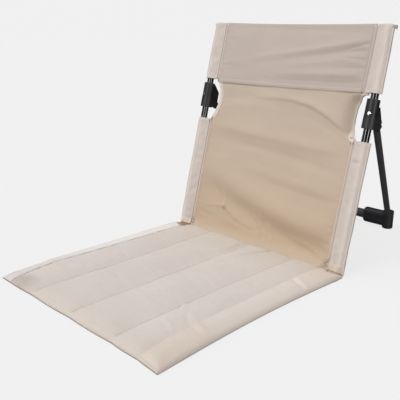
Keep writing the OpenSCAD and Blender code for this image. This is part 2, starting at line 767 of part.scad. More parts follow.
upright(-1);  // left_upright
upright(1);  // right_upright
upright_top_plugs();
upright_foot_plugs();
connector(-1);  // left_connector
connector(1);  // right_connector
connector_rivets();
pivot_pins();
back_panel();
head_band();
sleeve(-1, cut_top_h, cloth_top_h, true);  // left_upper_sleeve
sleeve(1, cut_top_h, cloth_top_h, true);  // right_upper_sleeve
sleeve(-1, left_sleeve_h, cut_bottom_h, false);  // left_lower_sleeve
sleeve(1, right_sleeve_h, cut_bottom_h, false);  // right_lower_sleeve
cutout_binding(-1);  // left_cutout_binding
cutout_binding(1);  // right_cutout_binding
strut(-1);  // left_strut
strut(1);  // right_strut
strut_eye(-1);  // left_strut_eye
strut_eye(1);  // right_strut_eye
elbow(-1);  // left_elbow
elbow(1);  // right_elbow
cross_tube();
elbow_rivets();
seat_cover();
seat_foam();
seat_base();
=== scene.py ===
import math

import bpy
import numpy as np
from mathutils import Matrix, Vector
from mathutils.bvhtree import BVHTree


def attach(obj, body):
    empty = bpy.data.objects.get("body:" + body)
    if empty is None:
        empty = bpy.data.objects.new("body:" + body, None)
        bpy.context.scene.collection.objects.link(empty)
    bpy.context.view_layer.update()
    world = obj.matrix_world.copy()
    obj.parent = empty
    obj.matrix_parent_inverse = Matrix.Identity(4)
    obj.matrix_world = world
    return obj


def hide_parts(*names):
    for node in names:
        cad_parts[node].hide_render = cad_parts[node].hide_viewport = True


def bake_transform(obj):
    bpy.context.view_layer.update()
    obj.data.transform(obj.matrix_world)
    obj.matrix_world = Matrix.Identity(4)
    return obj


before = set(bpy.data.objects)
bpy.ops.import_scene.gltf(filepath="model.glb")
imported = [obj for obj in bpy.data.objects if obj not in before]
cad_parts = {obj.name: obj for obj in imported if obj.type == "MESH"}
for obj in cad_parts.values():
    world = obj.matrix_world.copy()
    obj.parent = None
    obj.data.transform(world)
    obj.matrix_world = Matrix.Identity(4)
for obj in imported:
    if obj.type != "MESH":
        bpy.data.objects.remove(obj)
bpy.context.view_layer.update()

# The folding beach chair's visible surfaces. Places are worked out in millimetres, in back coordinates
# (x across, off behind the plane of the tube axes, h up the slope) or in seat coordinates
# (x across, y behind the ground fold, z up), and become metres of the row frame in make_mesh().

MM = 0.001

# Driving sizes, the same as in the CAD source
FOLD_Y = 51.575
TILT = math.radians(14)
AXIS_X = 188.4
TUBE_R = 6.5
COVER_HALF = 200.0
PANEL_HALF = 167.0
CLOTH_TOP = 428.0
CUT_TOP = 313.0
CUT_BOTTOM = 232.0
CUT_IN = {-1: 13.0, 1: 11.0}
HEM_H = 311.0
SLEEVE_START = {-1: 8.2, 1: 8.4}
CUFF = 10.0
SEAT_LEN = 412.0
CLOTH_T = 0.8
SIDES = {-1: "left", 1: "right"}

# Camera, solved from the straight edges of the photograph
LENS = 53.45
CAMERA_AT = (681.36, -782.52, 410.02)
AZIMUTH = 0.778819
ELEVATION = 0.285715
ROLL = 0.009969


# Smooth helpers on arrays

def smooth(t):
    s = np.clip(t, 0, 1)
    return s * s * (3 - 2 * s)


def bell(t):
    return np.exp(-np.square(t))


def noise(x, y, size, seed):
    """Smooth noise from -1 to 1 with lumps about size across."""
    table = np.random.default_rng(seed).uniform(-1, 1, (64, 64))
    gx, gy = np.asarray(x) / size + 17.3, np.asarray(y) / size + 9.1
    ix, iy = np.floor(gx).astype(int), np.floor(gy).astype(int)
    fx, fy = smooth(gx - ix), smooth(gy - iy)
    pick = lambda i, j: table[(ix + i) % 64, (iy + j) % 64]
    low = pick(0, 0) * (1 - fx) + pick(1, 0) * fx
    high = pick(0, 1) * (1 - fx) + pick(1, 1) * fx
    return low * (1 - fy) + high * fy


def spread(*parts):
    """The parts, broadcast to one shape, side by side along a last axis."""
    return np.stack(np.broadcast_arrays(*parts), axis=-1)


def back_point(x, off, h):
    return spread(x, FOLD_Y + h * math.sin(TILT) + off * math.cos(TILT), h * math.cos(TILT) - off * math.sin(TILT))


def seat_point(x, y, z):
    return spread(x, FOLD_Y + y, z)


# Meshes

def add_object(name, data):
    obj = bpy.data.objects.new(name, data)
    bpy.context.scene.collection.objects.link(obj)
    return obj


def make_mesh(name, points, faces, uvs=None):
    """A new object from points in millimetres, faces as tuples and a UV in millimetres for each point."""
    data = bpy.data.meshes.new(name)
    data.from_pydata((np.asarray(points, float) * MM).tolist(), [], faces)
    data.polygons.foreach_set("use_smooth", [True] * len(data.polygons))
    if uvs is not None:
        layer = data.uv_layers.new(name="cloth")
        corner = np.zeros(len(data.loops), int)
        data.loops.foreach_get("vertex_index", corner)
        layer.data.foreach_set("uv", (uvs[corner] * MM).astype(np.float32).ravel())
    return add_object(name, data)


def grid_faces(rows, cols, wrap=False):
    last = cols if wrap else cols - 1
    return [
        (r * cols + c, r * cols + (c + 1) % cols, (r + 1) * cols + (c + 1) % cols, (r + 1) * cols + c)
        for r in range(rows - 1)
        for c in range(last)
    ]


def grid_object(name, points, uvs=None, wrap=False):
    """A sheet of quads over a grid of points. uvs are two arrays in millimetres that broadcast to the grid."""
    rows, cols = points.shape[:2]
    flat = None if uvs is None else spread(*uvs).reshape(-1, 2)
    return make_mesh(name, points.reshape(-1, 3), grid_faces(rows, cols, wrap), flat)


def thicken(obj, thickness, offset=0.0):
    """Gives a sheet its thickness, and keeps the edges sharper than 40 degrees crisp."""
    solid = obj.modifiers.new("thickness", "SOLIDIFY")
    solid.thickness = thickness * MM
    solid.offset = offset
    solid.use_even_offset = True
    bpy.context.view_layer.update()
    graph = bpy.context.evaluated_depsgraph_get()
    data = bpy.data.meshes.new_from_object(obj.evaluated_get(graph), depsgraph=graph)
    obj.modifiers.clear()
    obj.data = data
    data.polygons.foreach_set("use_smooth", [True] * len(data.polygons))
    data.set_sharp_from_angle(angle=math.radians(40))
    return obj


def dress(obj, material, *nodes, body="back", slot=None):
    """Gives a piece its material, the body it rides on and the nodes it replaces. slot is not used."""
    obj.data.materials.clear()
    obj.data.materials.append(material)
    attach(obj, body)
    if nodes:
        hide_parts(*nodes)
    return obj


def cloth_piece(name, points, uvs, thickness, material, *nodes, offset=0.0, **place):
    return dress(thicken(grid_object(name, points, uvs), thickness, offset), material, *nodes, **place)


# Materials

class Nodes:
    """The node tree of a material or of the world. An input is named or numbered, and takes another node's
    output or a constant."""

    def __init__(self, owner):
        self.owner = owner
        owner.use_nodes = True
        self.tree = owner.node_tree

    def feed(self, node, inputs):
        for key, value in inputs.items():
            socket = node.inputs[key]
            if hasattr(value, "is_linked"):
                self.tree.links.new(value, socket)
            elif isinstance(value, tuple) and len(socket.default_value) == 4:
                socket.default_value = (*value, 1)
            else:
                socket.default_value = value

    def add(self, kind, inputs=None, **settings):
        node = self.tree.nodes.new(kind)
        for key, value in settings.items():
            setattr(node, key, value)
        self.feed(node, inputs or {})
        return node

    def math(self, operation, *values):
        return self.add("ShaderNodeMath", dict(enumerate(values)), operation=operation).outputs[0]

    def scaled(self, value, factor, plus):
        return self.math("ADD", self.math("MULTIPLY", value, factor), plus)

    def places(self):
        return self.add("ShaderNodeTexCoord").outputs["Object"]

    def along(self, axis):
        """One coordinate, moved by 0.5 so that a ramp has room for its negative values."""
        split = self.add("ShaderNodeSeparateXYZ", {0: self.places()})
        return self.math("ADD", split.outputs[axis], 0.5)

    def noise(self, scale, detail=2.0, vector=None, stretch=None):
        vector = vector or self.places()
        if stretch:
            vector = self.add("ShaderNodeMapping", {"Vector": vector, "Scale": stretch}).outputs["Vector"]
        return self.add("ShaderNodeTexNoise", {"Vector": vector, "Scale": scale, "Detail": detail}).outputs["Fac"]

    def ramp(self, factor, *stops):
        """A colour for each factor, from stops of a place and a colour or a grey."""
        node = self.add("ShaderNodeValToRGB", {"Fac": factor})
        elements = node.color_ramp.elements
        while len(elements) < len(stops):
            elements.new(0.5)
        for element, (place, tone) in zip(elements, stops):
            element.position = place
            element.color = (*tone, 1) if isinstance(tone, tuple) else (tone, tone, tone, 1)
        return node.outputs["Color"]

    def mix(self, factor, a, b, blend="MIX"):
        inputs = {"Factor": factor, "A": a, "B": b}
        return self.add("ShaderNodeMix", inputs, data_type="RGBA", blend_type=blend).outputs["Result"]

    def bump(self, height, strength, distance, **under):
        inputs = {"Height": height, "Strength": strength, "Distance": distance, **under}
        return self.add("ShaderNodeBump", inputs).outputs["Normal"]

    def seen_by(self, ray, usual, other, share=1.0):
        """Shader other for a share of one kind of ray, and usual for the rest."""
        part = self.math("MULTIPLY", self.add("ShaderNodeLightPath").outputs[ray], share)
        return self.add("ShaderNodeMixShader", {0: part, 1: usual, 2: other}).outputs[0]

    def surface(self, inputs):
        self.feed(self.tree.nodes["Principled BSDF"], inputs)
        return self.owner


def srgb(r, g, b):
    """An 8-bit screen colour as scene-linear values."""
    convert = lambda v: v / 12.92 if v <= 0.04045 else ((v + 0.055) / 1.055) ** 2.4
    return tuple(convert(v / 255) for v in (r, g, b))


def cloth_material(name, colour, shade, fade=None, corner=None):
    """Plain woven polyester: yarns 0.55 mm apart, uneven in thickness and tone, with faint cloudy wear.
    colour and the other tones are screen colours, and shade is the share of light left in the pits between
    yarns. fade is a second tone, the axis along which the cloth fades to it, and (place, share) stops.
    corner is a tone round one place: tone, place, squeeze along the axes and reach."""
    n = Nodes(bpy.data.materials.new(name))
    colour = srgb(*colour)
    flat = n.add("ShaderNodeUVMap", uv_map="cloth").outputs["UV"]
    split = n.add("ShaderNodeSeparateXYZ", {0: flat})
    turns = 2 * math.pi / (0.55 * MM)
    wobble = n.math("MULTIPLY", n.noise(900, 1.0, flat), 2.2)
    weft, warp = (n.math("SINE", n.scaled(split.outputs[axis], turns, wobble)) for axis in "YX")
    weave = n.math("MULTIPLY", n.scaled(weft, warp, 1.0), 0.5)
    across, along = (n.noise(1.0, 2.0, flat, stretch) for stretch in ((90, 1400, 1), (1400, 90, 1)))
    slub = n.math("ADD", across, along)
    worn, fresh = tuple(0.95 * c for c in colour), tuple(min(1.0, 1.03 * c) for c in colour)
    base = n.ramp(n.noise(9, 3.0), (0.25, worn), (0.75, fresh))
    # The fade and the corner tone carry the painted shade and light given in the calls below.
    if fade:
        tone, axis, stops = fade
        share = n.ramp(n.along(axis), *[(place + 0.5, part) for place, part in stops])
        base = n.mix(share, base, srgb(*tone))
    if corner:
        tone, centre, squeeze, reach = corner
        place = n.add("ShaderNodeVectorMath", {0: n.places(), 1: squeeze}, operation="MULTIPLY").outputs[0]
        centre = tuple(c * q for c, q in zip(centre, squeeze))
        far = n.add("ShaderNodeVectorMath", {0: place, 1: centre}, operation="DISTANCE").outputs["Value"]
        base = n.mix(n.ramp(far, (0.35 * reach, 0.9), (reach, 0)), base, srgb(*tone))
    base = n.mix(1.0, base, n.ramp(slub, (0.35, 0.93), (0.65, 1)), "MULTIPLY")
    base = n.mix(0.35, base, n.ramp(weave, (0.0, shade), (0.55, 1)), "MULTIPLY")
    soft = n.bump(n.noise(160, 3.0), 0.25, 0.0012)
    return n.surface({
        "Base Color": base,
        "Roughness": n.scaled(across, 0.2, 0.74),
        "Sheen Weight": 0.25,
        "Sheen Roughness": 0.5,
        "Specular IOR Level": 0.25,
        "Normal": n.bump(n.scaled(slub, 0.6, weave), 0.35, 0.00015, Normal=soft),
    })


def thread_material(name, colour):
    """Twisted sewing thread."""
    n = Nodes(bpy.data.materials.new(name))
    colour = srgb(*colour)
    inputs = {"Vector": n.places(), "Scale": 900}
    twist = n.add("ShaderNodeTexWave", inputs, wave_type="BANDS", bands_direction="DIAGONAL").outputs["Fac"]
    tone = n.ramp(twist, (0.2, tuple(0.8 * c for c in colour)), (0.8, colour))
    return n.surface({"Base Color": tone, "Roughness": 0.6, "Normal": n.bump(twist, 0.4, 0.0001)})


def enamel_material(name):
    """Gloss black enamel on drawn tube: faint orange peel, dust and fine scuffs along the tube."""
    n = Nodes(bpy.data.materials.new(name))
    return n.surface({
        "Base Color": n.ramp(n.noise(60, 5.0), (0.35, (0.002, 0.002, 0.003)), (0.75, (0.006, 0.006, 0.008))),
        "Roughness": n.scaled(n.noise(420, 4.0, None, (1, 1, 0.12)), 0.1, 0.07),
        "Specular IOR Level": 0.4,
        "Coat Weight": 0.35,
        "Coat Roughness": 0.08,
        "Normal": n.bump(n.noise(700, 2.0), 0.12, 0.0002),
    })


def satin_material(name, dark, pale, rough, shine):
    """Black nylon or satin enamel: fine grain, slightly grey where it is rubbed."""
    n = Nodes(bpy.data.materials.new(name))
    rub = n.noise(45, 4.0)
    worn = n.ramp(n.add("ShaderNodeNewGeometry").outputs["Pointiness"], (0.5, 0), (0.62, 0.6))
    return n.surface({
        "Base Color": n.mix(worn, n.ramp(rub, (0.4, dark), (0.8, pale)), (0.035, 0.035, 0.038)),
        "Roughness": n.scaled(rub, 0.14, rough),
        "Specular IOR Level": shine,
        "Normal": n.bump(n.noise(2600, 2.0), 0.18, 0.0001),
    })


def rivet_material(name):
    """Bright plated steel with fine turning marks, painted nearly black on the left as painted shade in place of the
    glint there.
    """
    n = Nodes(bpy.data.materials.new(name))
    marks = n.noise(2400, 3.0)
    bright = n.ramp(marks, (0.3, (0.62, 0.62, 0.64)), (0.7, (0.86, 0.86, 0.88)))
    # Painted shade: rivets left of the middle are painted nearly black.
    left = n.ramp(n.along("X"), (0.45, 1), (0.55, 0))
    return n.surface({
        "Base Color": n.mix(left, bright, (0.10, 0.10, 0.11)),
        "Metallic": 1.0,
        "Roughness": n.scaled(marks, 0.2, 0.22),
        "Normal": n.bump(marks, 0.1, 0.00005),
    })


# Painted shade: the back cloth turns darker and warmer towards its foot, strongest about 22 mm up and gone by 320 mm,
# for the shade and warm bounce under the slack roll.
panel_cloth = cloth_material(
    "back_cloth", (196, 179, 163), (0.80, 0.75, 0.69),
    ((194, 171, 145), "Z", ((0.007, 0.15), (0.022, 1.0), (0.16, 0.35), (0.32, 0.0))),
)
head_cloth = cloth_material("head_cloth", (189, 175, 165), (0.80, 0.77, 0.74))
# Painted light: the sleeve cloth is paler over the left sleeves, about half way, and fully paler along the right
# sleeves' outer fold, standing in for light on sides the lamps leave darker.
sleeve_cloth = cloth_material(
    "sleeve_cloth", (201, 189, 181), (0.84, 0.80, 0.77),
    ((222, 210, 201), "X", ((-0.17, 0.45), (0.0, 0.45), (0.17, 0.0), (0.186, 0.05), (0.1912, 1.0), (0.1952, 0.9),
                            (0.1968, 0.15))),
)
strip_cloth = cloth_material("strip_cloth", (214, 198, 184), (0.82, 0.77, 0.72))
# Painted shade: the left seat hem darkens towards the front corner.
hem_cloth = cloth_material(
    "hem_cloth", (234, 229, 225), (0.9, 0.87, 0.85),
    ((214, 208, 204), "Y", ((-0.36, 1.0), (-0.30, 0.85), (-0.22, 0.25), (-0.1, 0.0))),
)
# Painted shade: the right cuff is a darker, pinker copy of the left one, for the shade at its mouth.
cuff_cloth = {
    -1: cloth_material("left_cuff_cloth", (226, 210, 194), (0.88, 0.84, 0.80)),
    1: cloth_material("right_cuff_cloth", (211, 192, 178), (0.86, 0.80, 0.75)),
}
tape_cloth = cloth_material("tape_cloth", (220, 207, 196), (0.86, 0.82, 0.78))
# Painted shade: the linings are dark brown cloth for the shade inside the sleeves' mouths, the left darker than the
# right.
mouth_shade_cloth = {
    -1: cloth_material("left_lining_cloth", (178, 150, 128), (0.8, 0.7, 0.64)),
    1: cloth_material("right_lining_cloth", (214, 190, 172), (0.84, 0.76, 0.7)),
}
# Painted shade: the seat cloth is darker and warmer along its rear edge next to the back and a little along its front
# edge, with a darker patch round the left front corner.
seat_cloth = cloth_material(
    "seat_cloth", (212, 203, 197), (0.85, 0.82, 0.80),
    ((203, 190, 175), "Y", ((-0.365, 0.6), (-0.345, 0.3), (-0.31, 0.1), (-0.25, 0.0), (-0.04, 0.15), (0.02, 0.45),
                            (0.045, 1.0))),
    ((184, 172, 164), (-0.158, -0.355, 0), (1, 2, 0), 0.06),
)
# Painted shade: the right facing is darker and warmer towards its rear end next to the back and part way along its
# front end.
band_cloth = cloth_material(
    "band_cloth", (217, 206, 197), (0.87, 0.83, 0.80),
    ((205, 188, 173), "Y", ((-0.35, 0.45), (-0.27, 0.4), (-0.22, 0.0), (-0.04, 0.1), (0.0, 0.35), (0.04, 0.75),
                            (0.05, 1.0))),
)
pale_thread = thread_material("pale_thread", (214, 200, 186))
seam_thread = thread_material("seam_thread", (158, 128, 106))
hem_thread = thread_material("hem_thread", (234, 226, 219))
# Painted shade: the next three threads are dark, standing in for the shade lines along the sleeves' folds, the seat's
# edges, the right cut-out's edge and the left hem's groove.
edge_shade_thread = thread_material("edge_shade_thread", (138, 126, 122))
cord_shade_thread = thread_material("cord_shade_thread", (122, 114, 116))
groove_shade_thread = thread_material("groove_shade_thread", (116, 100, 90))
tab_cloth = thread_material("tab_cloth", (160, 132, 136))
seat_thread = thread_material("seat_thread", (200, 188, 180))
tack_thread = thread_material("tack_thread", (150, 116, 96))
enamel = enamel_material("gloss_black")
barrel_nylon = satin_material("barrel_nylon", (0.003, 0.003, 0.0045), (0.007, 0.007, 0.0105), 0.42, 0.24)
foot_nylon = satin_material("foot_nylon", (0.013, 0.013, 0.017), (0.019, 0.019, 0.026), 0.38, 0.4)
satin_enamel = satin_material("satin_enamel", (0.045, 0.044, 0.053), (0.062, 0.060, 0.072), 0.40, 0.4)
plated = rivet_material("rivet_steel")


# Stitches

def stitches(name, lines, stitch=2.6, pitch=3.6, radius=0.28, rise=0.25):
    """One mesh of sewn stitches along lines, each an array of points and one of normals in millimetres."""
    sides = 6
    turns = [(math.cos(2 * math.pi * k / sides), math.sin(2 * math.pi * k / sides)) for k in range(sides)]
    profile = [(-0.5, 0.35, -0.5), (-0.3, 0.9, 0.6), (0.0, 1.0, 1.0), (0.3, 0.9, 0.6), (0.5, 0.35, -0.5)]
    last = (len(profile) - 1) * sides
    skin = grid_faces(len(profile), sides, wrap=True)
    skin += [tuple(reversed(range(sides))), tuple(range(last, last + sides))]
    points, faces = [], []
    for line, normals in lines:
        along = np.concatenate([[0], np.cumsum(np.linalg.norm(np.diff(line, axis=0), axis=1))])
        at = lambda s, rows: np.array([np.interp(s, along, column) for column in rows.T])
        for start in np.arange(pitch / 2, along[-1] - pitch / 2, pitch):
            run = at(start + stitch / 2, line) - at(start - stitch / 2, line)
            run /= np.linalg.norm(run)
            up = at(start, normals)
            up -= run * (up @ run)
            up /= np.linalg.norm(up)
            side = np.cross(run, up)
            faces += [tuple(len(points) + k for k in face) for face in skin]
            for share, swell, lift in profile:
                centre = at(start, line) + run * stitch * share + up * rise * lift
                points += [centre + radius * swell * (side * c + up * s) for c, s in turns]
    return make_mesh(name, points, faces)


# Back panel

RELIEF_HALF = 164.0
PANEL_RELIEF, HEAD_RELIEF, SEAT_RELIEF = 1.45, 1.6, 1.25


def near_path(x, y, path):
    """Distance from a broken line, 1 or -1 for above or below it, and the share of its length reached."""
    x, y = np.broadcast_arrays(np.asarray(x, float), np.asarray(y, float))
    path = np.asarray(path, float)
    lengths = np.hypot(*np.diff(path, axis=0).T)
    before = np.concatenate([[0], np.cumsum(lengths)])
    best, above, share = np.full(x.shape, 1e9), np.zeros(x.shape), np.zeros(x.shape)
    for k, length in enumerate(lengths):
        ux, uy = (path[k + 1] - path[k]) / length
        t = np.clip((x - path[k, 0]) * ux + (y - path[k, 1]) * uy, 0, length)
        dx, dy = x - path[k, 0] - t * ux, y - path[k, 1] - t * uy
        away = np.hypot(dx, dy)
        closer = away < best
        best = np.where(closer, away, best)
        above = np.where(closer, np.where(dy >= 0, 1, -1), above)
        share = np.where(closer, (before[k] + t) / before[-1], share)
    return best, above, share


def ridge(x, y, height, breadth, path, end=0.0, below=None):
    """A ridge along a broken line: full height at its first point, end times that at its last."""
    away, above, share = near_path(x, y, path)
    wide = breadth if below is None else np.where(above > 0, breadth, below)
    return height * (1 + (end - 1) * share) / (1 + np.square(away / wide)) ** 1.5


def ridges(x, y, rows):
    return sum(ridge(x, y, *row) for row in rows)


def cut_depth(h, side):
    """How deep a cut-out is at a height. The right one has a sharper upper and lower corner."""
    t = (h - CUT_BOTTOM) / (CUT_TOP - CUT_BOTTOM)
    inside = (t > 0) & (t < 1)
    power = np.where((side < 0) & (t < 0.5), 1.5, 2.5)
    corner = 11 * np.clip((t - 0.925) / 0.075, 0, 1) ** 1.6 + 5 * np.clip((0.07 - t) / 0.07, 0, 1) ** 1.6
    return np.where(inside, CUT_IN[side] * (1 - np.abs(2 * np.clip(t, 0, 1) - 1) ** power) - corner * (side > 0), 0)


def panel_edge(h, side):
    return PANEL_HALF - 0.25 - cut_depth(h, side)


# The line of the slack roll over the ground, and folds as height towards the sitter, breadth, path from the
# strong end to the weak one, share of the height at the weak end and, if it differs, breadth below the path
SLACK_LINE = np.polyfit([-165, -99, -66, 0, 57, 110, 160], [121, 106, 88, 70, 60, 54, 50], 3)
PANEL_RIDGES = [
    (4.6, 11, [(166, 236), (123, 259), (96, 273), (68, 283), (20, 289), (-60, 288)], 0.12, 3.2),
    (1.8, 26, [(166, 240), (96, 276), (20, 292), (-60, 290)], 0.3, 15),
    (-1.6, 7, [(160, 226), (110, 246), (70, 262)], 0.2),
    (2.2, 3.0, [(163, 238), (143, 262)], 0.2),
    (1.8, 2.6, [(162, 240), (152, 268)], 0.2),
    (-1.8, 2.8, [(164, 236), (128, 252)], 0.2),
    (1.3, 2.6, [(163, 235), (130, 232)], 0.1),
    (2.4, 3.4, [(-91, 62), (-95, 78), (-99, 100)], 0.3),
    (2.8, 3.2, [(-92, 63), (-77, 54), (-56, 46)], 0.3),
    (2.0, 3.2, [(-93, 63), (-118, 61), (-146, 55)], 0.3),
    (-1.8, 4.5, [(-101, 72), (-113, 88), (-132, 104)], 0.4),
    (-2.3, 4, [(-166, 44), (-104, 35)], 0.1),
    (-2.2, 4.5, [(165, 48), (128, 50)], 0.2),
    (1.9, 2.8, [(-12, 58), (4, 40), (9, 18)], 0.3),
    (1.8, 2.8, [(4, 62), (19, 42), (26, 16)], 0.3),
    (1.4, 2.6, [(24, 52), (35, 32), (38, 12)], 0.3),
    (-1.3, 2.8, [(-60, 40), (-20, 30), (6, 36)], 0.3),
    (2.6, 6, [(165, 17), (122, 34), (70, 42)], 0.2),
    (-1.6, 6, [(165, 30), (120, 50)], 0.2),
    (1.8, 5, [(165, 11), (104, 15), (50, 12)], 0.2),
    (1.4, 6, [(-165, 14), (-120, 22), (-70, 20)], 0.2),
    (1.3, 9, [(-152, 300), (-60, 297)], 0.3),
    (1.4, 10, [(-152, 258), (-90, 270), (-20, 268)], 0.3),
    (-1.2, 8, [(-150, 277), (-80, 284)], 0.3),
    (2.4, 17, [(-164, 222), (0, 213), (164, 206)], 0.9, 10),
    (-2.0, 13, [(164, 170), (20, 187), (-150, 197)], 0.6),
    (1.8, 14, [(164, 133), (60, 139), (-60, 150)], 0.4),
    (-1.8, 9, [(164, 119), (100, 122), (10, 130)], 0.3),
    (0.9, 12, [(-165, 152), (-80, 160)], 0.3),
]


def panel_off(x, h):
    """How far the panel stands behind the plane of the tube axes."""
    side_room = 1 - np.minimum(np.abs(x / RELIEF_HALF), 1) ** 5
    end_room = smooth((h - 2) / 20)
    s = (h - np.polyval(SLACK_LINE, x)) / 21
    sag = 5 * np.sin(math.pi * np.clip(h / CUT_TOP, 0, 1))
    grow = 0.75 + 0.35 * smooth((x + 160) / 260)
    roll = 8.0 * grow * (bell(s + 0.95) - bell((s - 0.85) / 1.25))
    fine = 0.6 * noise(x * 0.6, h, 34, 3) + 0.26 * noise(x * 0.7, h * 1.5, 17, 4) + 0.08 * noise(x, h, 7, 5)
    pucker = 0.35 * bell((RELIEF_HALF - np.abs(x)) / 9) * np.sin(h / 2.3 + 2 * noise(h, 0, 25, 6))
    curl = sum(
        deep * bell((side * x - panel_edge(h, side)) / 13) * smooth(cut_depth(h, side) / 8)
        for side, deep in ((-1, 1.5), (1, 10.0))
    )
    foot = 11 * np.square(np.clip((27 - h) / 24, 0, 1)) * smooth((RELIEF_HALF - np.abs(x)) / 12)
    relief = end_room * (sag + roll - PANEL_RELIEF * ridges(x, h, PANEL_RIDGES) + fine)
    return side_room * relief + curl + pucker * end_room - foot


def top_h(x):
    """The upper edge sags a little between the sleeves."""
    return CLOTH_TOP - 2 * (1 - np.square(x / PANEL_HALF))


def build_panel():
    u = np.linspace(0, 1, 141)[None, :]
    heights = np.linspace(3, CLOTH_TOP - 0.5, 178)[:, None]
    left, right = -panel_edge(heights, -1), panel_edge(heights, 1)
    x = left + u * (right - left)
    h = heights * top_h(x) / CLOTH_TOP
    points = back_point(x, panel_off(x, h), h)
    return cloth_piece("back_cloth", points, (x, h), CLOTH_T, panel_cloth, "back_panel", slot="back_cloth")


# Head band

HEAD_RIDGES = [
    (2.8, 7, [(166, 401), (60, 382), (-82, 362)], 0.2, 9),
    (-1.7, 8, [(164, 387), (40, 369), (-60, 352)], 0.2),
    (1.9, 8, [(166, 373), (90, 361), (0, 350)], 0.2),
    (2.8, 9, [(166, 341), (60, 338), (-20, 334)], 0.2, 7),
    (-2.5, 7, [(166, 324), (80, 322), (-50, 321)], 0.2),
    (-2.6, 3.0, [(166, 398), (118, 383)], 0.1),
    (-2.2, 2.6, [(166, 383), (120, 379)], 0.1),
    (-2.3, 2.6, [(166, 369), (116, 368)], 0.1),
    (-2.2, 2.8, [(166, 354), (112, 352)], 0.1),
    (1.6, 3.0, [(166, 391), (126, 383)], 0.1),
    (1.5, 3.0, [(166, 361), (122, 361)], 0.1),
    (-1.3, 2.6, [(-165, 398), (-132, 394)], 0.1),
    (-1.2, 2.6, [(-165, 372), (-136, 371)], 0.1),
    (-1.4, 2.6, [(-165, 345), (-128, 343)], 0.1),
    (-1.7, 7, [(166, 417), (0, 419), (-100, 420)], 0.3),
    (1.0, 9, [(-165, 406), (-90, 398)], 0.2),
    (-0.9, 8, [(-165, 334), (-90, 338)], 0.2),
    (0.8, 6, [(-165, 352), (-110, 350)], 0.2),
]


def hem_low(x):
    return HEM_H - 1.5 + 1.5 * np.square(x / PANEL_HALF) + 2.5 * x / PANEL_HALF


def head_off(x, h):
    side_room = 1 - np.minimum(np.abs(x / RELIEF_HALF), 1) ** 7
    top_room = smooth((CLOTH_TOP - h) / 14)
    fine = 0.35 * noise(x * 0.5, h, 30, 13) + 0.14 * noise(x * 0.7, h, 11, 14) + 0.05 * noise(x, h, 6, 15)
    billow = 1.8 * np.sin(math.pi * np.clip((h - HEM_H) / (CLOTH_TOP - HEM_H), 0, 1)) + 0.5
    pucker = 0.3 * bell((RELIEF_HALF - np.abs(x)) / 10) * np.sin(h / 2.1 + 2 * noise(h, 0, 22, 16))
    forward = side_room * (billow + top_room * (HEAD_RELIEF * ridges(x, h, HEAD_RIDGES) + fine)) + pucker
    return side_room * 5 * np.sin(math.pi * np.clip(h / CUT_TOP, 0, 1)) - 1.05 - np.maximum(forward, -0.2)


def build_head():
    """The second layer over the head: turned under along its hem, and over the upper edge behind."""
    x = np.linspace(-166, 166, 141)[None, :]
    rise = np.concatenate([[0, 0.008, 0.05, 0.058, 0.066], np.linspace(0.08, 1, 66)])[:, None]
    proud = np.interp(rise, [0, 0.008, 0.05, 0.058, 0.066], [0.45, 0.8, 0.75, 0.08, 0.0])
    low, high = hem_low(x), top_h(x) - 1.2
    h = low + rise * (high - low)
    off = head_off(x, h) - proud
    turn = np.radians([30, 60, 90, 120, 150, 180])[:, None]
    over = 0.25 + (off[-1:] - 0.25) * np.cos(turn)
    down = np.linspace(3, 16, 6)[:, None]
    along = np.concatenate([h, high + 3 * turn / math.pi, high + 3 + down])
    off = np.concatenate([off, over, over[-1:] + 0 * down])
    points = back_point(x, off, np.concatenate([h, high + 1.6 * np.sin(turn), high - down]))
    return cloth_piece("head_cloth", points, (x, along), CLOTH_T, head_cloth, "head_band", slot="head_cloth")


# Sleeves

SEAM_X = 169.6
STRIP_X = 162.6
SLEEVE_IN = AXIS_X - SEAM_X
SLEEVE_OUT = COVER_HALF - AXIS_X
REAR_LIP = 0.9
EDGE_LIP = 0.6
FRONT_LIP = {True: 1.95, False: 0.95}  # upper and lower sleeves
MOUTH_FOLDS = ((0.8, 2, 2), (-0.2, -3, 2.2), (0.7, -9, 2), (0.6, 8, 1.6))  # height, place and breadth


def sleeve_half(u, lip, wide):
    """Half the thickness of a sleeve u millimetres outwards from the tube's axis."""
    r = (TUBE_R + 0.85) * wide
    circle = np.sqrt(np.clip(r * r - u * u, 0, None))
    reach = np.where(u < 0, 18.4, 8.6)
    tent = r * 1.01 * np.clip(1 - np.abs(u) / reach, 0, 1) ** np.where(u < 0, 0.72, 0.9)
    return np.maximum(np.maximum(circle, tent), lip)


def part_name(side, upper):
    return f"{SIDES[side]}_{'upper' if upper else 'lower'}"


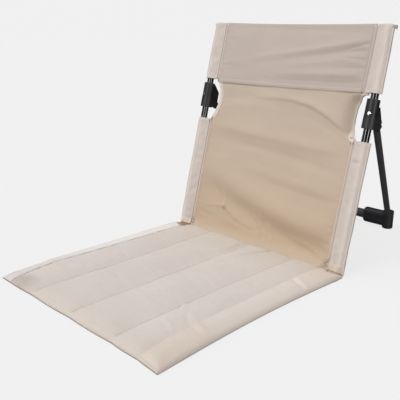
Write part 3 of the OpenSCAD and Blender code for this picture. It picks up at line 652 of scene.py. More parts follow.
def sleeve_point(side, around, h, upper, wide=1.0, rough=1.0, hems=(), extra=0.0):
    """around runs from the front of the inner seam (0) over the outer fold (0.5) to the rear (1)."""
    front = around <= 0.5
    share = np.where(front, around * 2, (1 - around) * 2)
    u = -SLEEVE_IN + (SLEEVE_IN + SLEEVE_OUT) * np.sin(share * math.pi / 2) ** 1.15
    edge_lip = np.interp(u, [0, SLEEVE_OUT], [REAR_LIP, EDGE_LIP])
    half = sleeve_half(u, np.where(front & (u < 0), FRONT_LIP[upper], edge_lip), wide) + extra
    for hem in hems:
        deep = CUFF if hem < 30 else 6.4
        half = half + 0.5 * (1 - smooth((np.abs(h - hem) - deep) / 0.9))
    body = smooth((u + 18) / 5) * smooth((SLEEVE_OUT - 2 - u) / 3)
    wave = rough * body * (
        0.8 * noise(u * 1.5 + 40 * side, h * 0.6, 15, 21)
        + 0.8 * noise(u + 0.5 * h + 90 * side, h * 0.8 - 0.3 * u, 9, 22)
        + 0.5 * np.sin(h / 2.9 + 3 * noise(0, h, 30, 23 + side)) * bell((u + 12) / 5)
        + 0.3 * np.sin(h / 2.2 + 2 * noise(0, h, 26, 27 + side)) * bell((u - 8) / 3)
    )
    if upper:
        lines = 0.5 * bell((u + 6) / 2.2) * noise(h, 0, 60, 31)
    else:
        crease = (side > 0) * (bell((h - 196) / 2.6) - 0.6 * bell((h - 203) / 4))
        folds = sum(height * bell((u - at) / breadth) for height, at, breadth in MOUTH_FOLDS)
        lines = -1.2 * crease * body + bell((h - SLEEVE_START[side]) / 16) * folds
    tube = np.sqrt(np.clip((TUBE_R + 0.5) ** 2 - u * u, 0, None)) * np.minimum(rough, 1)
    behind = half + wave
    ahead = behind + rough * lines * smooth((u + 18) / 5)
    off = np.where(front, -np.maximum(ahead, tube), np.maximum(behind, tube))
    edge = rough * (0.5 * noise(h, 7 * side, 34, 25) + 0.15 * noise(h, 0, 9, 26)) * smooth(u / SLEEVE_OUT)
    out = extra * smooth(u / SLEEVE_OUT)
    return back_point(side * (AXIS_X + u + edge + out), off, h), u


def hang(side, around, h, low):
    """The right lower sleeve's mouth hangs lower at its outer end."""
    return h - (side > 0) * 3.2 * bell((around - 0.5) / 0.13) * (1 - smooth((h - low) / 18))


def sleeve_rows(low, high, hems):
    rows = set(np.round(np.linspace(low, high, int((high - low) / 2.6)), 2))
    for hem in hems:
        inward = 1 if hem == low else -1
        rows |= {hem + inward * d for d in (0.0, 0.5, 3.4, 4.0, 4.6, 5.6, 6.4, 6.9, 7.4, 8.2, 10.0, 10.5, 11.1)}
    return np.array(sorted(rows))[:, None]


def build_sleeve(side, upper):
    low, high = (CUT_TOP + 1, CLOTH_TOP) if upper else (SLEEVE_START[side], CUT_BOTTOM)
    around = np.linspace(0, 1, 61)[None, :]
    hems = (low,) if upper else (low, high)
    h = sleeve_rows(low, high, hems)
    if upper:
        closing = high - np.array([3.9, 3.2, 2.5, 1.8, 1.2, 0.7, 0.3, 0.0])[:, None]
        h = np.concatenate([h[h[:, 0] < high - 4], closing])
    flare = 1 + 0.1 * bell((h - low) / 9)
    place = h if upper else hang(side, around, h, low)
    points, u = sleeve_point(side, around, place, upper, flare, 1.0, hems)
    if upper:
        shut = np.sqrt(1 - np.square(1 - np.clip((high - h) / 3.9, 0, 1)))
        middle = back_point(points[..., 0], -0.5, h)
        points = middle + (points - middle) * (0.1 + 0.9 * shut)[..., None]
        tab = smooth((u - 4) / 7.6) * smooth((h - high + 9) / 9)
        points[..., 0] += side * (3.2 * tab - 1.4 * smooth((h - 380) / 40) * smooth(u / SLEEVE_OUT))
        points[..., 2] -= 1.2 * tab
    part = part_name(side, upper)
    return cloth_piece(part + "_sleeve_cloth", points, (around * 66, h), 0.6, sleeve_cloth, part + "_sleeve")


def build_cuff(side):
    """The paler turned hem round a lower sleeve's mouth."""
    around = np.linspace(0, 1, 61)[None, :]
    start = SLEEVE_START[side]
    h = np.linspace(start - 0.3, start + CUFF, 8)[:, None]
    flare = 1 + 0.1 * bell((h - start) / 9)
    points, _ = sleeve_point(side, around, hang(side, around, h, start), False, flare, 1.0, (start,), 0.4)
    return cloth_piece(SIDES[side] + "_cuff", points, (around * 66, h), 0.3, cuff_cloth[side])


def build_strip(side, upper):
    """The flat seam strip that joins a sleeve to the panel, on both faces."""
    low, high = (CUT_TOP + 1, CLOTH_TOP - 2.4) if upper else (5, CUT_BOTTOM)
    h = sleeve_rows(low, high, ())
    across = np.array([0, 0.08, 0.25, 0.45, 0.65, 0.85, 1.0])[None, :]
    wander = 0.25 * noise(h, side, 18, 71)
    x = side * (STRIP_X + wander * (1 - across) + across * (SEAM_X + 0.5 - STRIP_X))
    swell = np.interp(across, [0, 0.08, 0.3, 0.5, 0.7, 1.0], [-0.25, 0.1, 0.02, 0.18, 0.0, -0.35])
    pucker = 0.12 * np.sin(h / 0.95 + 3 * noise(h, 0, 20, 72)) * np.sin(math.pi * across)
    front = back_point(x, -(FRONT_LIP[upper] + swell + pucker - 0.15), h)
    rear = back_point(x, REAR_LIP + swell + pucker - 0.15, h)
    points = np.concatenate([front, rear[:, ::-1]], axis=1)
    along = np.concatenate([across * 7, 8 + across * 7], axis=1)
    obj = grid_object(part_name(side, upper) + "_seam_strip", points, (along, h), wrap=True)
    return dress(obj, sleeve_cloth if upper else strip_cloth)


def build_pocket(side):
    """The inner cloth that closes the sleeve's mouth round the tube's foot, coloured dark brown as painted shade
    inside the mouth.
    """
    around = np.linspace(0, 1, 41)[None, :]
    h = np.linspace(1.2, 34, 14)[:, None]
    points, _ = sleeve_point(side, around, h, False, rough=0.0)
    middle = back_point(points[..., 0], 0, h)
    points = middle + (points - middle) * 0.92
    points[..., 0] = side * (AXIS_X + (np.abs(points[..., 0]) - AXIS_X) * 0.93)
    points[..., 2] = np.maximum(points[..., 2], 0.6)
    return cloth_piece(SIDES[side] + "_foot_pocket", points, (around * 60, h), 0.2, mouth_shade_cloth[side])


# Bound edges of the cut-outs

EDGE_STEPS = 70


def edge_frame(side):
    """Points along a cut-out's edge in (x, h), and their outward normals."""
    h = np.linspace(CUT_BOTTOM - 1, CUT_TOP + 1, EDGE_STEPS)
    x = side * panel_edge(h, side)
    dx, dh = np.gradient(x), np.gradient(h)
    length = np.hypot(dx, dh)
    return x, h, side * dh / length, -side * dx / length


def tape_point(side, inward, off):
    """Places on the tape: inward from the edge, off in front of (negative) or behind the panel."""
    x, h, nx, nh = edge_frame(side)
    px, ph = x - inward * nx, h - inward * nh
    inner_x = np.clip(px, -panel_edge(ph, -1), panel_edge(ph, 1))
    return px, ph, panel_off(inner_x, ph) + off


def tape_breadth(side):
    """The tape's breadth from the lower end of the cut-out to the upper one."""
    t = np.linspace(0, 1, EDGE_STEPS)
    return 8.0 + 0 * t if side < 0 else 1.3 + 5.6 * smooth((0.34 - t) / 0.26) + 1.6 * smooth((t - 0.88) / 0.12)


def build_binding(side):
    """A folded tape sewn over the raw edge on both faces."""
    deep = tape_breadth(side)
    swell = np.clip(deep / 5, 0.7, 1.3) if side > 0 else 1.0
    profile = [(1.03, -0.5), (1.0, -0.95), (0.75, -1.2), (0.45, -1.3), (0.15, -1.25), (-0.1, -1.0), (-0.19, 0.0),
               (-0.1, 1.0), (0.15, 1.2), (0.45, 1.1), (0.75, 1.05), (1.0, 0.95), (1.03, 0.5)]
    columns = []
    step = np.arange(EDGE_STEPS)
    for part, off in profile:
        inward = part * (deep if part > 0 else 8.0)
        wobble = 0.25 * noise(step * 1.2, part, 6, 41 + side) * (part > 0.6)
        px, ph, depth = tape_point(side, inward + wobble, off * swell * (1 + 0.15 * np.sin(step * 1.9)))
        columns.append(back_point(px, depth, ph))
    points = np.stack(columns, axis=1)
    flat = (np.linspace(0, 20, len(profile)), np.linspace(0, 95, EDGE_STEPS)[:, None])
    part = SIDES[side] + "_cutout_"
    return cloth_piece(part + "tape", points, flat, 0.3, tape_cloth, part + "binding", offset=side)


# Seat

SEAT_SEAMS = (-101.0, 0.0, 101.0, 158.0)
PAD_LOW = 1.6
SEAT_RIDGES = [
    (-4.2, 4.6, [(53, -8), (34, -66), (8, -132)], 0.15),
    (1.8, 7, [(66, -8), (47, -66), (20, -134)], 0.1),
    (-1.4, 4, [(-8, -4), (-4, -105)], 0.2),
    (0.9, 5, [(-16, -4), (-12, -80)], 0.2),
    (1.6, 4, [(173, -312), (134, -292)], 0.3),
    (-1.3, 4, [(170, -322), (130, -302)], 0.3),
    (1.3, 3.5, [(98, -272), (118, -300), (124, -326)], 0.3),
    (-1.3, 3.2, [(98, -282), (122, -312)], 0.3),
    (1.1, 3.2, [(112, -326), (142, -340)], 0.3),
    (-1.0, 3.0, [(126, -296), (150, -318)], 0.3),
    (-3.2, 3.2, [(160, -86), (190, -99)], 0.7),
    (1.8, 3.6, [(160, -79), (190, -91)], 0.5),
    (-0.9, 4, [(162, -134), (196, -142)], 0.3),
    (-1.3, 5, [(-99, -272), (-76, -291)], 0.1),
    (1.1, 3.6, [(198, -413), (172, -380)], 0.1),
    (-0.9, 3.2, [(198, -408), (182, -370)], 0.1),
    (1.0, 3.6, [(196, -412), (158, -398)], 0.1),
    (0.9, 7, [(-168, -175), (-112, -190)], 0.3),
    (-0.8, 6, [(-165, -204), (-110, -217)], 0.3),
    (0.9, 6, [(-170, -330), (-112, -346)], 0.3),
    (1.0, 5, [(120, -8), (108, -60)], 0.2),
    (-0.8, 5, [(-120, -6), (-108, -70)], 0.2),
    (1.0, 5, [(-60, -4), (-72, -60)], 0.2),
    (0.8, 9, [(60, -230), (30, -300)], 0.3),
    (0.9, 3.0, [(-160, -13), (0, -15), (156, -12)], 1.0),
    (-0.9, 3.2, [(-150, -21), (20, -24), (150, -20)], 0.8),
]


def seat_half(v, side):
    return COVER_HALF - np.where(side > 0, 8, 3) * np.sin(math.pi * v)


def seat_front(x):
    corner = np.abs(x / COVER_HALF) ** 6
    places = (-COVER_HALF, *SEAT_SEAMS, COVER_HALF)
    scallop = np.abs(np.sin(math.pi * np.interp(x, places, range(len(places)))))
    return -SEAT_LEN - corner * np.where(x > 0, 6, 0.5) - 1.5 * scallop * (1 - corner)


def seat_rear(x):
    """The rear edge, hollowed round the foot of each tube."""
    left = 13.0 * np.sqrt(np.clip(1 - np.square((x + 180.5) / 18.5), 0, 1))
    right = 6.5 * np.sqrt(np.clip(1 - np.square((x - 181) / 13), 0, 1))
    return 1.4 - left - right - 1.6 * smooth((np.abs(x) - 190) / 10)


def seat_place(s, v):
    x = s * seat_half(v, np.sign(s))
    return x, seat_rear(x) + v * (seat_front(x) - seat_rear(x))


def rise(d, reach):
    return np.sqrt(1 - np.square(1 - np.clip(d / reach, 0, 1)))


def hem_breadth(v):
    """How far the left hem's groove runs inside the edge: more towards the front corner."""
    return np.interp(v, [0, 0.15, 0.5, 0.74, 0.84, 0.92, 1.0], [21, 21, 16.5, 13, 14, 19, 29])


def seat_gaps(x, y, s):
    """How far places are from the seat's left, right, front and rear edges."""
    return COVER_HALF * (1 + s), COVER_HALF * (1 - s), y - seat_front(x), seat_rear(x) - y


def seat_level(x, y, s):
    """Height of the pad's upper cloth before it is filled."""
    a = s * COVER_HALF
    places = np.array([-194, *SEAT_SEAMS, 206])
    swell = np.array([1.6, 2.1, 2.1, 1.8, 1.1])
    which = np.clip(np.searchsorted(places, a, side="right") - 1, 0, 4)
    t = np.clip((a - places[which]) / (places[which + 1] - places[which]), 0, 1)
    level = 10.4 + swell[which] * (1 - np.abs(2 * t - 1) ** 2.2)
    for seam in SEAT_SEAMS:
        level = level - 1.0 * bell((a - seam) / 3.6)
    to_left, to_right, to_front, to_rear = seat_gaps(x, y, s)
    breadth = hem_breadth(-y / SEAT_LEN)
    to_groove = to_left - breadth
    front = 0.18 + 0.82 * rise(to_front, 24)
    low = 0.24 - 0.20 * bell((x + 180) / 18) - 0.06 * bell((x - 184) / 15)
    rear = low + (1 - low) * rise(to_rear - 2, 30 + 18 * bell((x + 180) / 20))
    shape = (0.56 + 0.44 * rise(to_groove, 26)) * (0.28 + 0.72 * rise(to_right, 24)) * front * rear
    hem = 2.2 * np.clip(-to_groove / breadth, 0, 1) * front * rear
    flat_corner = 5.0 * np.clip(1 - to_front / 88, 0, 1) ** 0.6 * smooth((60 - to_left) / 60)
    return np.maximum(2.4 + (level - 2.4) * shape + hem - flat_corner, PAD_LOW)


def simulate(obj, pins, frames=20, pressure=4.0, grow=0.002, cap=5.0):
    """Fills obj like a cushion with Blender's cloth, holding the pinned points, and moves none more than cap."""
    start = np.array([v.co for v in obj.data.vertices])
    group = obj.vertex_groups.new(name="pins")
    group.add([int(i) for i in pins], 1.0, "REPLACE")
    cloth = obj.modifiers.new("cloth", "CLOTH")
    settings = {
        "quality": 5, "mass": 0.15, "tension_stiffness": 12, "compression_stiffness": 12, "shear_stiffness": 4,
        "bending_stiffness": 0.3, "use_pressure": True, "uniform_pressure_force": pressure,
        "shrink_min": -grow, "shrink_max": -grow, "vertex_group_mass": group.name,
    }
    for key, value in settings.items():
        setattr(cloth.settings, key, value)
    cloth.settings.effector_weights.gravity = 0
    cloth.collision_settings.use_collision = False
    scene = bpy.context.scene
    for f in range(1, frames + 1):
        scene.frame_set(f)
    done = obj.evaluated_get(bpy.context.evaluated_depsgraph_get())
    moved = np.array([v.co for v in done.data.vertices]) - start
    obj.modifiers.remove(cloth)
    scene.frame_set(1)
    far = np.linalg.norm(moved, axis=1, keepdims=True)
    moved *= np.minimum(1, cap * MM / np.maximum(far, 1e-9))
    obj.data.vertices.foreach_set("co", (start + moved).ravel())
    obj.data.update()


def spaced(anchors, step, fine):
    """Places from the first anchor to the last, about step apart, with closer ones next to each anchor."""
    places = set(anchors)
    for low, high in zip(anchors[:-1], anchors[1:]):
        inner = [low + d for d in fine if d < (high - low) / 2] + [high - d for d in fine if d < (high - low) / 2]
        start, stop = low + fine[-1], high - fine[-1]
        if stop > start:
            inner += list(np.linspace(start, stop, max(2, int((stop - start) / step)) + 1))
        places |= {round(p, 3) for p in inner}
    return np.array(sorted(places))


def build_seat():
    """The pad: an upper cloth, filled like a cushion and creased, over a nearly flat under cloth."""
    columns = spaced([-200, -187, -183.5, -180, -176, -172, -101, 0, 101, 158, 200], 3.4, (1.0, 2.2, 3.6))
    v = spaced([0, SEAT_LEN], 3.4, (0.5, 1.2, 2.2, 3.6))[:, None] / SEAT_LEN
    s = columns[::-1] / COVER_HALF + 0 * v
    x, y = seat_place(s, v)
    rows, cols = x.shape
    to_left, to_right, to_front, to_rear = seat_gaps(x, y, s)
    to_groove = to_left - hem_breadth(v)
    to_seam = np.min([np.abs(s * COVER_HALF - seam) for seam in SEAT_SEAMS], axis=0)
    obj = grid_object("seat_pad", seat_point(x, y, seat_level(x, y, s)))
    pinned = (to_groove < 0.6) | (to_right < 5) | (to_front < 4) | (to_rear < 6) | (to_seam < 0.01)
    simulate(obj, np.flatnonzero(pinned.ravel()))
    top = np.array([p.co for p in obj.data.vertices]).reshape(rows, cols, 3) / MM
    bpy.data.objects.remove(obj)
    xs, ys = top[..., 0], top[..., 1] - FOLD_Y
    room = smooth(to_groove / 8) * smooth(to_right / 8) * smooth(to_front / 8) * smooth(to_rear / 6)
    fine = 0.35 * noise(xs, ys, 38, 51) + 0.2 * noise(xs * 1.3, ys * 0.5, 16, 52) + 0.08 * noise(xs, ys, 7, 53)
    pucker = 0.3 * np.sin(ys / 1.9 + 2.5 * noise(xs * 0.2, ys, 22, 54)) * bell((to_seam - 5) / 5) * smooth(to_seam / 3)
    groove = -1.3 * bell(to_groove / 1.6) * smooth(to_front / 6) * smooth((to_rear - 10) / 8)
    top[..., 2] += room * (SEAT_RELIEF * ridges(xs, ys, SEAT_RIDGES) + fine + pucker) + groove
    top[..., 2] = np.maximum(top[..., 2], PAD_LOW)
    base = top.copy()
    base[..., 2] = 0.5
    base[1:-1, 1:-1, 2] += 0.12 * (1 + noise(xs, ys, 30, 55))[1:-1, 1:-1]
    count = rows * cols
    index = np.arange(count).reshape(rows, cols)
    rim = np.concatenate([index[0], index[1:, -1], index[-1, -2::-1], index[-2:0:-1, 0]]).tolist()
    faces = grid_faces(rows, cols)
    faces += [tuple(count + i for i in reversed(face)) for face in faces]
    faces += [(a, count + a, count + b, b) for a, b in zip(rim, rim[1:] + rim[:1])]
    points = np.concatenate([top.reshape(-1, 3), base.reshape(-1, 3)])
    flat = spread(xs, ys).reshape(-1, 2)
    pad = make_mesh("seat_pad", points, faces, np.concatenate([flat, flat]))
    pad.data.set_sharp_from_angle(angle=math.radians(60))
    return dress(pad, seat_cloth, "seat_cover", "seat_foam", "seat_base", body="seat")


def over_pad(pad, x, y):
    """Heights of the pad's upper side at places of the seat."""
    tree = BVHTree.FromObject(pad, bpy.context.evaluated_depsgraph_get())
    x, y = np.broadcast_arrays(np.asarray(x, float), np.asarray(y, float))
    z = np.zeros(x.shape)
    for index in np.ndindex(x.shape):
        hit = tree.ray_cast(Vector((x[index] * MM, (FOLD_Y + y[index]) * MM, 0.1)), Vector((0, 0, -1)))[0]
        z[index] = hit.z / MM if hit else 1.2
    return z


def build_seat_band(pad):
    """The facing sewn over the pad's right edge, with a turned inner edge."""
    v = np.linspace(0.003, 0.997, 150)[:, None]
    inner = 157.4 + 0.8 * noise(v * SEAT_LEN, 0, 40, 61) + 2.0 * smooth((v - 0.8) / 0.2)
    outer = seat_half(v, 1) - 0.6
    share = np.array([0, 0.012, 0.06, 0.12, 0.2, 0.3, 0.4, 0.5, 0.6, 0.7, 0.79, 0.87, 0.93, 0.97, 1.0])[None, :]
    x = inner + share * (outer - inner)
    y = seat_rear(x) - 0.4 + v * (seat_front(x) - seat_rear(x) + 0.8)
    z = over_pad(pad, x, y) + np.interp(share, [0, 0.012, 0.06, 0.12], [0.35, 0.95, 0.85, 0.5])
    for _ in range(2):
        z[:, 2:-1] = 0.25 * z[:, 1:-2] + 0.5 * z[:, 2:-1] + 0.25 * z[:, 3:]
    edge_x, edge_y, edge_z = x[:, -1:], y[:, -1:], z[:, -1:]
    xs = np.concatenate([x, edge_x + 0.9, edge_x + 1.3, edge_x + 0.6, edge_x - 5], axis=1)
    ys = np.concatenate([y] + [edge_y] * 4, axis=1)
    under = [edge_z * 0.75 + 0.2, edge_z * 0.4 + 0.2, 0 * edge_z + 0.35, 0 * edge_z + 0.3]
    zs = np.concatenate([z] + under, axis=1)
    points, flat = seat_point(xs, ys, zs)[:, ::-1], (xs[:, ::-1] + 500, ys[:, ::-1])
    obj = thicken(grid_object("right_seat_facing", points, flat), 0.35, 1.0)
    for vertex in obj.data.vertices:
        vertex.co.z = max(vertex.co.z, 0.1 * MM)
    return dress(obj, band_cloth, body="seat")


def build_seat_hem(pad):
    """The narrow turned hem along the pad's left edge, which stands a little proud."""
    v = np.linspace(0.02, 0.998, 150)[:, None]
    share = np.array([1.0, 0.94, 0.78, 0.58, 0.38, 0.2, 0.1])[None, :]
    outer = -seat_half(v, -1)
    x = share * (hem_breadth(v) - 1.0) + outer
    y = seat_rear(x) + v * (seat_front(x) - seat_rear(x))
    z = over_pad(pad, x, y) + np.interp(share, [0.1, 0.2, 0.94, 1.0], [0.3, 0.6, 0.6, 0.2])
    edge = z[:, -1:]
    xs = np.concatenate([x, outer, outer - 0.5, outer - 0.4], axis=1)
    ys = np.concatenate([y] + [y[:, -1:]] * 3, axis=1)
    points = seat_point(xs, ys, np.concatenate([z, 0.92 * edge, 0.6 * edge, 0.2 * edge], axis=1))
    return cloth_piece("left_seat_hem", points, (xs + 700, ys), 0.35, hem_cloth, offset=-1.0, body="seat")


# Ground fold

def build_ground_fold():
    """Cloth that runs from the rear of the back under the tubes' feet to the underside of the seat."""
    x = spaced([-200, -166, 166, 200], 3.0, (0.8, 1.8, 3.0))[None, :]
    a = np.abs(x)
    h = np.linspace(26, 3, 12)[:, None]
    u = np.clip(a - AXIS_X, -SLEEVE_IN, SLEEVE_OUT)
    behind = sleeve_half(u, np.interp(u, [0, SLEEVE_OUT], [REAR_LIP, EDGE_LIP]), 1.1) + 1.2
    down = back_point(x, np.where(a > 166, behind, panel_off(x, h) + 1.0), h)
    rear_y = down[-1:, :, 1] - FOLD_Y
    y = rear_y + (-24 - rear_y) * np.linspace(0, 1, 14)[1:, None]
    raised = smooth((a - 166) / 4) * np.where(x < 0, 1.6, 4.5) * bell((y - seat_rear(x) - 1.5) / 3.2) * (y < 0.5)
    points = np.concatenate([down, seat_point(x, y, 0.3 + raised)])
    for _ in range(3):
        points[1:-1] = 0.25 * points[:-2] + 0.5 * points[1:-1] + 0.25 * points[2:]
    points[..., 2] = np.maximum(points[..., 2], 0.25)
    along = np.linspace(0, 56, points.shape[0])[:, None]
    obj = thicken(grid_object("ground_fold", points, (x, along)), 0.4)
    obj.data.materials.clear()
    obj.data.materials.append(sleeve_cloth)
    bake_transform(obj)
    return obj


# Sewing

def back_line(x, off, h, front=True):
    """A line of points on the back and their normals, towards the sitter or to the rear."""
    points = back_point(x, off, h)
    away = np.array([0, -math.cos(TILT), math.sin(TILT)]) * (1 if front else -1)
    return points, np.broadcast_to(away, points.shape)


def seat_line(pad, x, y):
    points = seat_point(x, y, over_pad(pad, x, y) + 0.1)
    return points, np.broadcast_to([0.0, 0.0, 1.0], points.shape)


def build_seam_rows():
    """The two rows of darker stitches along each sleeve's seam strip."""
    lines = []
    for side in SIDES:
        low = np.linspace(SLEEVE_START[side] + 1, CUT_BOTTOM - 1, 80)
        high = np.linspace(CUT_TOP + 2, CLOTH_TOP - 3, 40)
        for row in (163.9, 168.3):
            lines.append(back_line(side * row, -FRONT_LIP[False] - 0.3, low))
            lines.append(back_line(side * row, REAR_LIP + 0.35, low, False))
            lines.append(back_line(side * row, -FRONT_LIP[True] - 0.35, high))
            lines.append(back_line(side * row, REAR_LIP + 0.35, high, False))
    dress(stitches("seam_stitching", lines, 2.6, 3.4, 0.34), seam_thread)


def build_back_sewing():
    """The stitches along the cut-outs' tapes and the two rows along the head's hem."""
    lines = []
    for side in SIDES:
        for off, front in ((-1.4, True), (1.4, False)):
            px, ph, depth = tape_point(side, tape_breadth(side) - 1.3, off)
            lines.append(back_line(px[4:-4], depth[4:-4], ph[4:-4], front))
    x = np.linspace(-161, 161, 120)
    for above, proud in ((3.6, 1.2), (0.9, 1.3)):
        h = hem_low(x) + above
        lines.append(back_line(x, head_off(x, h) - proud, h))
    dress(stitches("back_stitching", lines), pale_thread)


def build_seat_sewing(pad, band):
    """The stitches along the seat's channels, its left edge and its facing."""
    y = np.linspace(-3, -408, 120)
    v = -y / SEAT_LEN
    lines = [seat_line(pad, seam * seat_half(v, np.sign(seam)) / COVER_HALF, y) for seam in SEAT_SEAMS[:3]]
    edge = np.linspace(-12, -405, 110)
    lines.append(seat_line(pad, 3.0 - seat_half(-edge / SEAT_LEN, -1), edge))
    dress(stitches("seat_stitching", lines), seat_thread, body="seat")
    x = 159.6 * seat_half(v, 1) / COVER_HALF + 2.0 * smooth((v - 0.8) / 0.2)
    dress(stitches("facing_stitching", [seat_line(band, x, y)], 2.8, 3.2, 0.42), hem_thread, body="seat")


def tube_along(name, points, radius, material, body="back"):
    """A thin cord along points, here the dark cords that stand in for shade lines along edges."""
    run = np.gradient(points, axis=0)
    run /= np.linalg.norm(run, axis=1, keepdims=True)
    helper = np.where(np.abs(run[:, 2:]) > 0.8, [[0.0, 1.0, 0.0]], [[0.0, 0.0, 1.0]])
    side = np.cross(run, helper)
    side /= np.linalg.norm(side, axis=1, keepdims=True)
    up = np.cross(side, run)
    turn = np.linspace(0, 2 * math.pi, 7)[:-1, None]
    ring = side[:, None, :] * np.cos(turn) + up[:, None, :] * np.sin(turn)
    swell = (radius + 0 * points[:, 0])[:, None, None]
    dress(grid_object(name, points[:, None, :] + swell * ring, wrap=True), material, body=body)


def build_edging(pad):
    """Overlocked edges along the sleeves' outer folds and round the seat, and the cords of two turned edges, all in
    dark thread as painted shade for the shade lines along these edges and in the left hem's groove.
    """
    # Painted shade: dark cords along the sleeves' outer folds for the shade line there, shaped as overlock.
    for side in SIDES:
        for upper, low, high in ((False, SLEEVE_START[side] - 6, CUT_BOTTOM), (True, CUT_TOP + 1, CLOTH_TOP - 6)):
            h = np.linspace(low, high, int((high - low) / 1.5))
            points, _ = sleeve_point(side, np.full(h.shape, 0.5), h, upper)
            if upper:
                points[:, 0] -= side * 1.4 * smooth((h - 380) / 40)
            # Painted shade: the right upper cord is thicker round 388 mm up, where the shade line is wider.
            thick = 0.5 + 0.35 * bell((h - 388) / 18) * (side > 0)
            tube_along(part_name(side, upper) + "_overlock", points, thick, edge_shade_thread)
    # Painted shade: a dark cord round the seat's right and front edges for the shade line under them.
    v, x = np.linspace(0.012, 0.998, 270), np.linspace(198, -193, 250)
    right = spread(seat_half(v, 1) + 0.3, seat_rear(198) + v * (seat_front(200) - seat_rear(198)), 1.5)
    line = np.concatenate([right, spread(x, seat_front(x) - 0.3, 1.6)])
    tube_along("seat_overlock", seat_point(*line.T), 0.6, edge_shade_thread, "seat")
    # Painted shade: a dark cord in the left hem's groove for the shade line there.
    v = np.linspace(0.04, 0.985, 260)
    x, y = hem_breadth(v) + 0.1 - seat_half(v, -1), -v * SEAT_LEN
    points = seat_point(x, y, over_pad(pad, x, y) + 0.3)
    tube_along("left_hem_cord", points, 0.9, groove_shade_thread, "seat")
    # Painted shade: a dark cord along the right cut-out's curled edge for the shade line there.
    px, ph, depth = tape_point(1, -1.2, 0.0)
    tube_along("right_cutout_cord", back_point(px, depth, ph)[24:68], 0.75, cord_shade_thread)


def build_corner_tab():
    """The folded end of the edging at the right upper corner."""
    u = np.array([-2.0, -1.0, 0.5, 2.0, 3.2, 4.0, 4.3])[None, :]
    v = np.linspace(0, 1, 7)[:, None]
    x = 198.6 + u + 0.3 * v
    h = CLOTH_TOP - 7.4 + 6.2 * v - 0.1 * np.square(u - 1)
    puff = 1.0 * np.sqrt(np.clip(1 - np.square(2 * v - 1), 0, 1)) * (1 - 0.5 * smooth((u - 2) / 2.4)) + 0.1
    points = np.concatenate([back_point(x, -puff, h), back_point(x, puff, h)[::-1]])
    dress(grid_object("right_corner_tab", points), tab_cloth)


def build_tacks():
    """Bar tacks where the sleeves, the panel and the seat are caught together, from one place to another."""
    both = [(160.5, 16.5, 164.5, 17.5), (164, 19, 167.5, 20.5), (163, 11.5, 166.5, 12.5), (165.5, 23, 168.5, 24.5),
            (164.6, CUT_TOP - 3, 164.4, CUT_TOP + 3)]
    left = [(165.4, CUT_BOTTOM - 4, 163.6, CUT_BOTTOM + 3), (162.6, CUT_BOTTOM - 1, 160.8, CUT_BOTTOM + 5)]
    right = [(168.0, CUT_BOTTOM - 5, 166.6, CUT_BOTTOM - 2), (166.6, CUT_BOTTOM + 4, 164.4, CUT_BOTTOM + 6),
             (162.6, CUT_BOTTOM + 4, 160.4, CUT_BOTTOM + 5), (163.4, CUT_BOTTOM - 6, 162.4, CUT_BOTTOM - 2)]
    t = np.linspace(0, 1, 8)
    lines = []
    for side, bars in ((-1, both), (1, both), (-1, left), (1, right)):
        for x0, h0, x1, h1 in bars:
            lift = -2.5 if h0 > 300 else -1.4
            lines.append(back_line(side * (x0 + t * (x1 - x0)), lift, h0 + t * (h1 - h0)))
    dress(stitches("bar_tacks", lines, 1.4, 0.8, 0.5, 0.3), tack_thread)


# Assembly

panel = build_panel()
head = build_head()
sleeves = [build_sleeve(side, upper) for upper in (True, False) for side in SIDES]
strips = [build_strip(side, upper) for upper in (True, False) for side in SIDES]
cuffs = [build_cuff(side) for side in SIDES]
pockets = [build_pocket(side) for side in SIDES]
bindings = [build_binding(side) for side in SIDES]
seat = build_seat()
facing = build_seat_band(seat)
seat_hem = build_seat_hem(seat)
ground_fold = build_ground_fold()
build_seam_rows()
build_back_sewing()
build_seat_sewing(seat, facing)
build_edging(seat)
build_corner_tab()
build_tacks()


def paint(material, *nodes):
    for node in nodes:
        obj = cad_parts[node]
        if not obj.material_slots:
            obj.data.materials.append(material)
        for place in obj.material_slots:
            place.material = material


paint(enamel, "left_upright", "right_upright")
paint(satin_enamel, "left_strut", "right_strut", "cross_tube")
paint(barrel_nylon, "left_connector", "right_connector", "pivot_pins", "upright_top_plugs", "upright_foot_plugs")
paint(foot_nylon, "left_strut_eye", "right_strut_eye", "left_elbow", "right_elbow")
paint(plated, "connector_rivets", "elbow_rivets")


# Studio

PALE = srgb(240, 240, 240)
MIRRORED = (0.06, 0.06, 0.068)  # what shiny surfaces reflect of the floor and the sky
TUBES_AT = (0.19, 0.13, 0.25)


def direction(azimuth, elevation):
    """Unit vector from the chair towards a place, from angles in radians: 0, 0 is straight in front."""
    level = math.cos(elevation)
    return Vector((math.sin(azimuth) * level, -math.cos(azimuth) * level, math.sin(elevation)))


def add_camera():
    back = direction(AZIMUTH, ELEVATION)
    right = Vector((math.cos(AZIMUTH), math.sin(AZIMUTH), 0))
    up = back.cross(right)
    level = math.cos(ROLL) * right + math.sin(ROLL) * up
    upright = -math.sin(ROLL) * right + math.cos(ROLL) * up
    camera = add_object("camera", bpy.data.cameras.new("camera"))
    camera.data.lens = LENS
    camera.data.clip_start = 0.05
    turn = Matrix((level, upright, back)).transposed().to_4x4()
    camera.matrix_world = Matrix.Translation(Vector(CAMERA_AT) * MM) @ turn
    bpy.context.scene.camera = camera


def add_lamp(name, kind, power, source, **settings):
    """A lamp that shines from the direction source."""
    lamp = bpy.data.lights.new(name, kind)
    lamp.energy = power
    for key, value in settings.items():
        setattr(lamp, key, value)
    obj = add_object(name, lamp)
    obj.rotation_mode = "QUATERNION"
    obj.rotation_quaternion = source.to_track_quat("Z", "Y")
    return obj


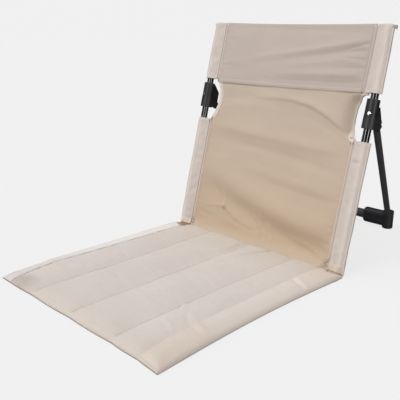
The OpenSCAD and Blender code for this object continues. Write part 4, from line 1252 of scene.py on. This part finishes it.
def add_sun(name, power, angle, azimuth, elevation):
    source = direction(math.radians(azimuth), math.radians(elevation))
    add_lamp(name, "SUN", power, source, angle=math.radians(angle))


def add_strip(name, at, to, breadth, length, power):
    """A long lamp for the highlights on the tubes, itself out of the picture."""
    source = Vector(at) - Vector(to)
    obj = add_lamp(name, "AREA", power, source, shape="RECTANGLE", size=breadth, size_y=length)
    obj.location = at
    obj.visible_camera = obj.visible_diffuse = False


def add_floor():
    """A pale floor, which the camera sees nearly flat and the tubes mirror dark."""
    far = 9000
    corners = [(-far, -far, 0), (far, -far, 0), (far, far, 0), (-far, far, 0)]
    floor = make_mesh("floor", corners, [(0, 1, 2, 3)])
    n = Nodes(bpy.data.materials.new("floor"))
    floor.data.materials.append(n.surface({"Base Color": PALE, "Roughness": 0.9, "Specular IOR Level": 0.0}))
    lit = n.tree.nodes["Principled BSDF"].outputs["BSDF"]
    glow, dark = (n.add("ShaderNodeEmission", {"Color": tone}).outputs[0] for tone in (PALE, MIRRORED))
    seen = n.seen_by("Is Glossy Ray", n.seen_by("Is Camera Ray", lit, glow, 0.88), dark)
    n.feed(n.tree.nodes["Material Output"], {"Surface": seen})


def set_world(strength):
    world = bpy.context.scene.world = bpy.data.worlds.new("studio")
    n = Nodes(world)
    light = n.tree.nodes["Background"]
    n.feed(light, {"Color": (1, 1, 1), "Strength": strength})
    backdrop, dark = (n.add("ShaderNodeBackground", {"Color": tone}).outputs[0] for tone in (PALE, MIRRORED))
    seen = n.seen_by("Is Camera Ray", n.seen_by("Is Glossy Ray", light.outputs[0], dark), backdrop)
    n.feed(n.tree.nodes["World Output"], {"Surface": seen})


add_camera()
set_world(0.54)
add_sun("key", 1.38, 26, -16, 62)
add_sun("fill", 0.62, 50, -72, 32)
add_strip("left_strip", (-0.06, -1.162, 0.4), TUBES_AT, 0.24, 1.8, 24)
add_strip("right_strip", (1.449, -0.202, 0.4), TUBES_AT, 0.26, 1.8, 24)
add_strip("top_strip", (0.5, -0.1, 1.5), (0.12, 0.33, 0.05), 0.9, 0.5, 10)
add_floor()
bpy.context.scene.view_settings.view_transform = "Standard"
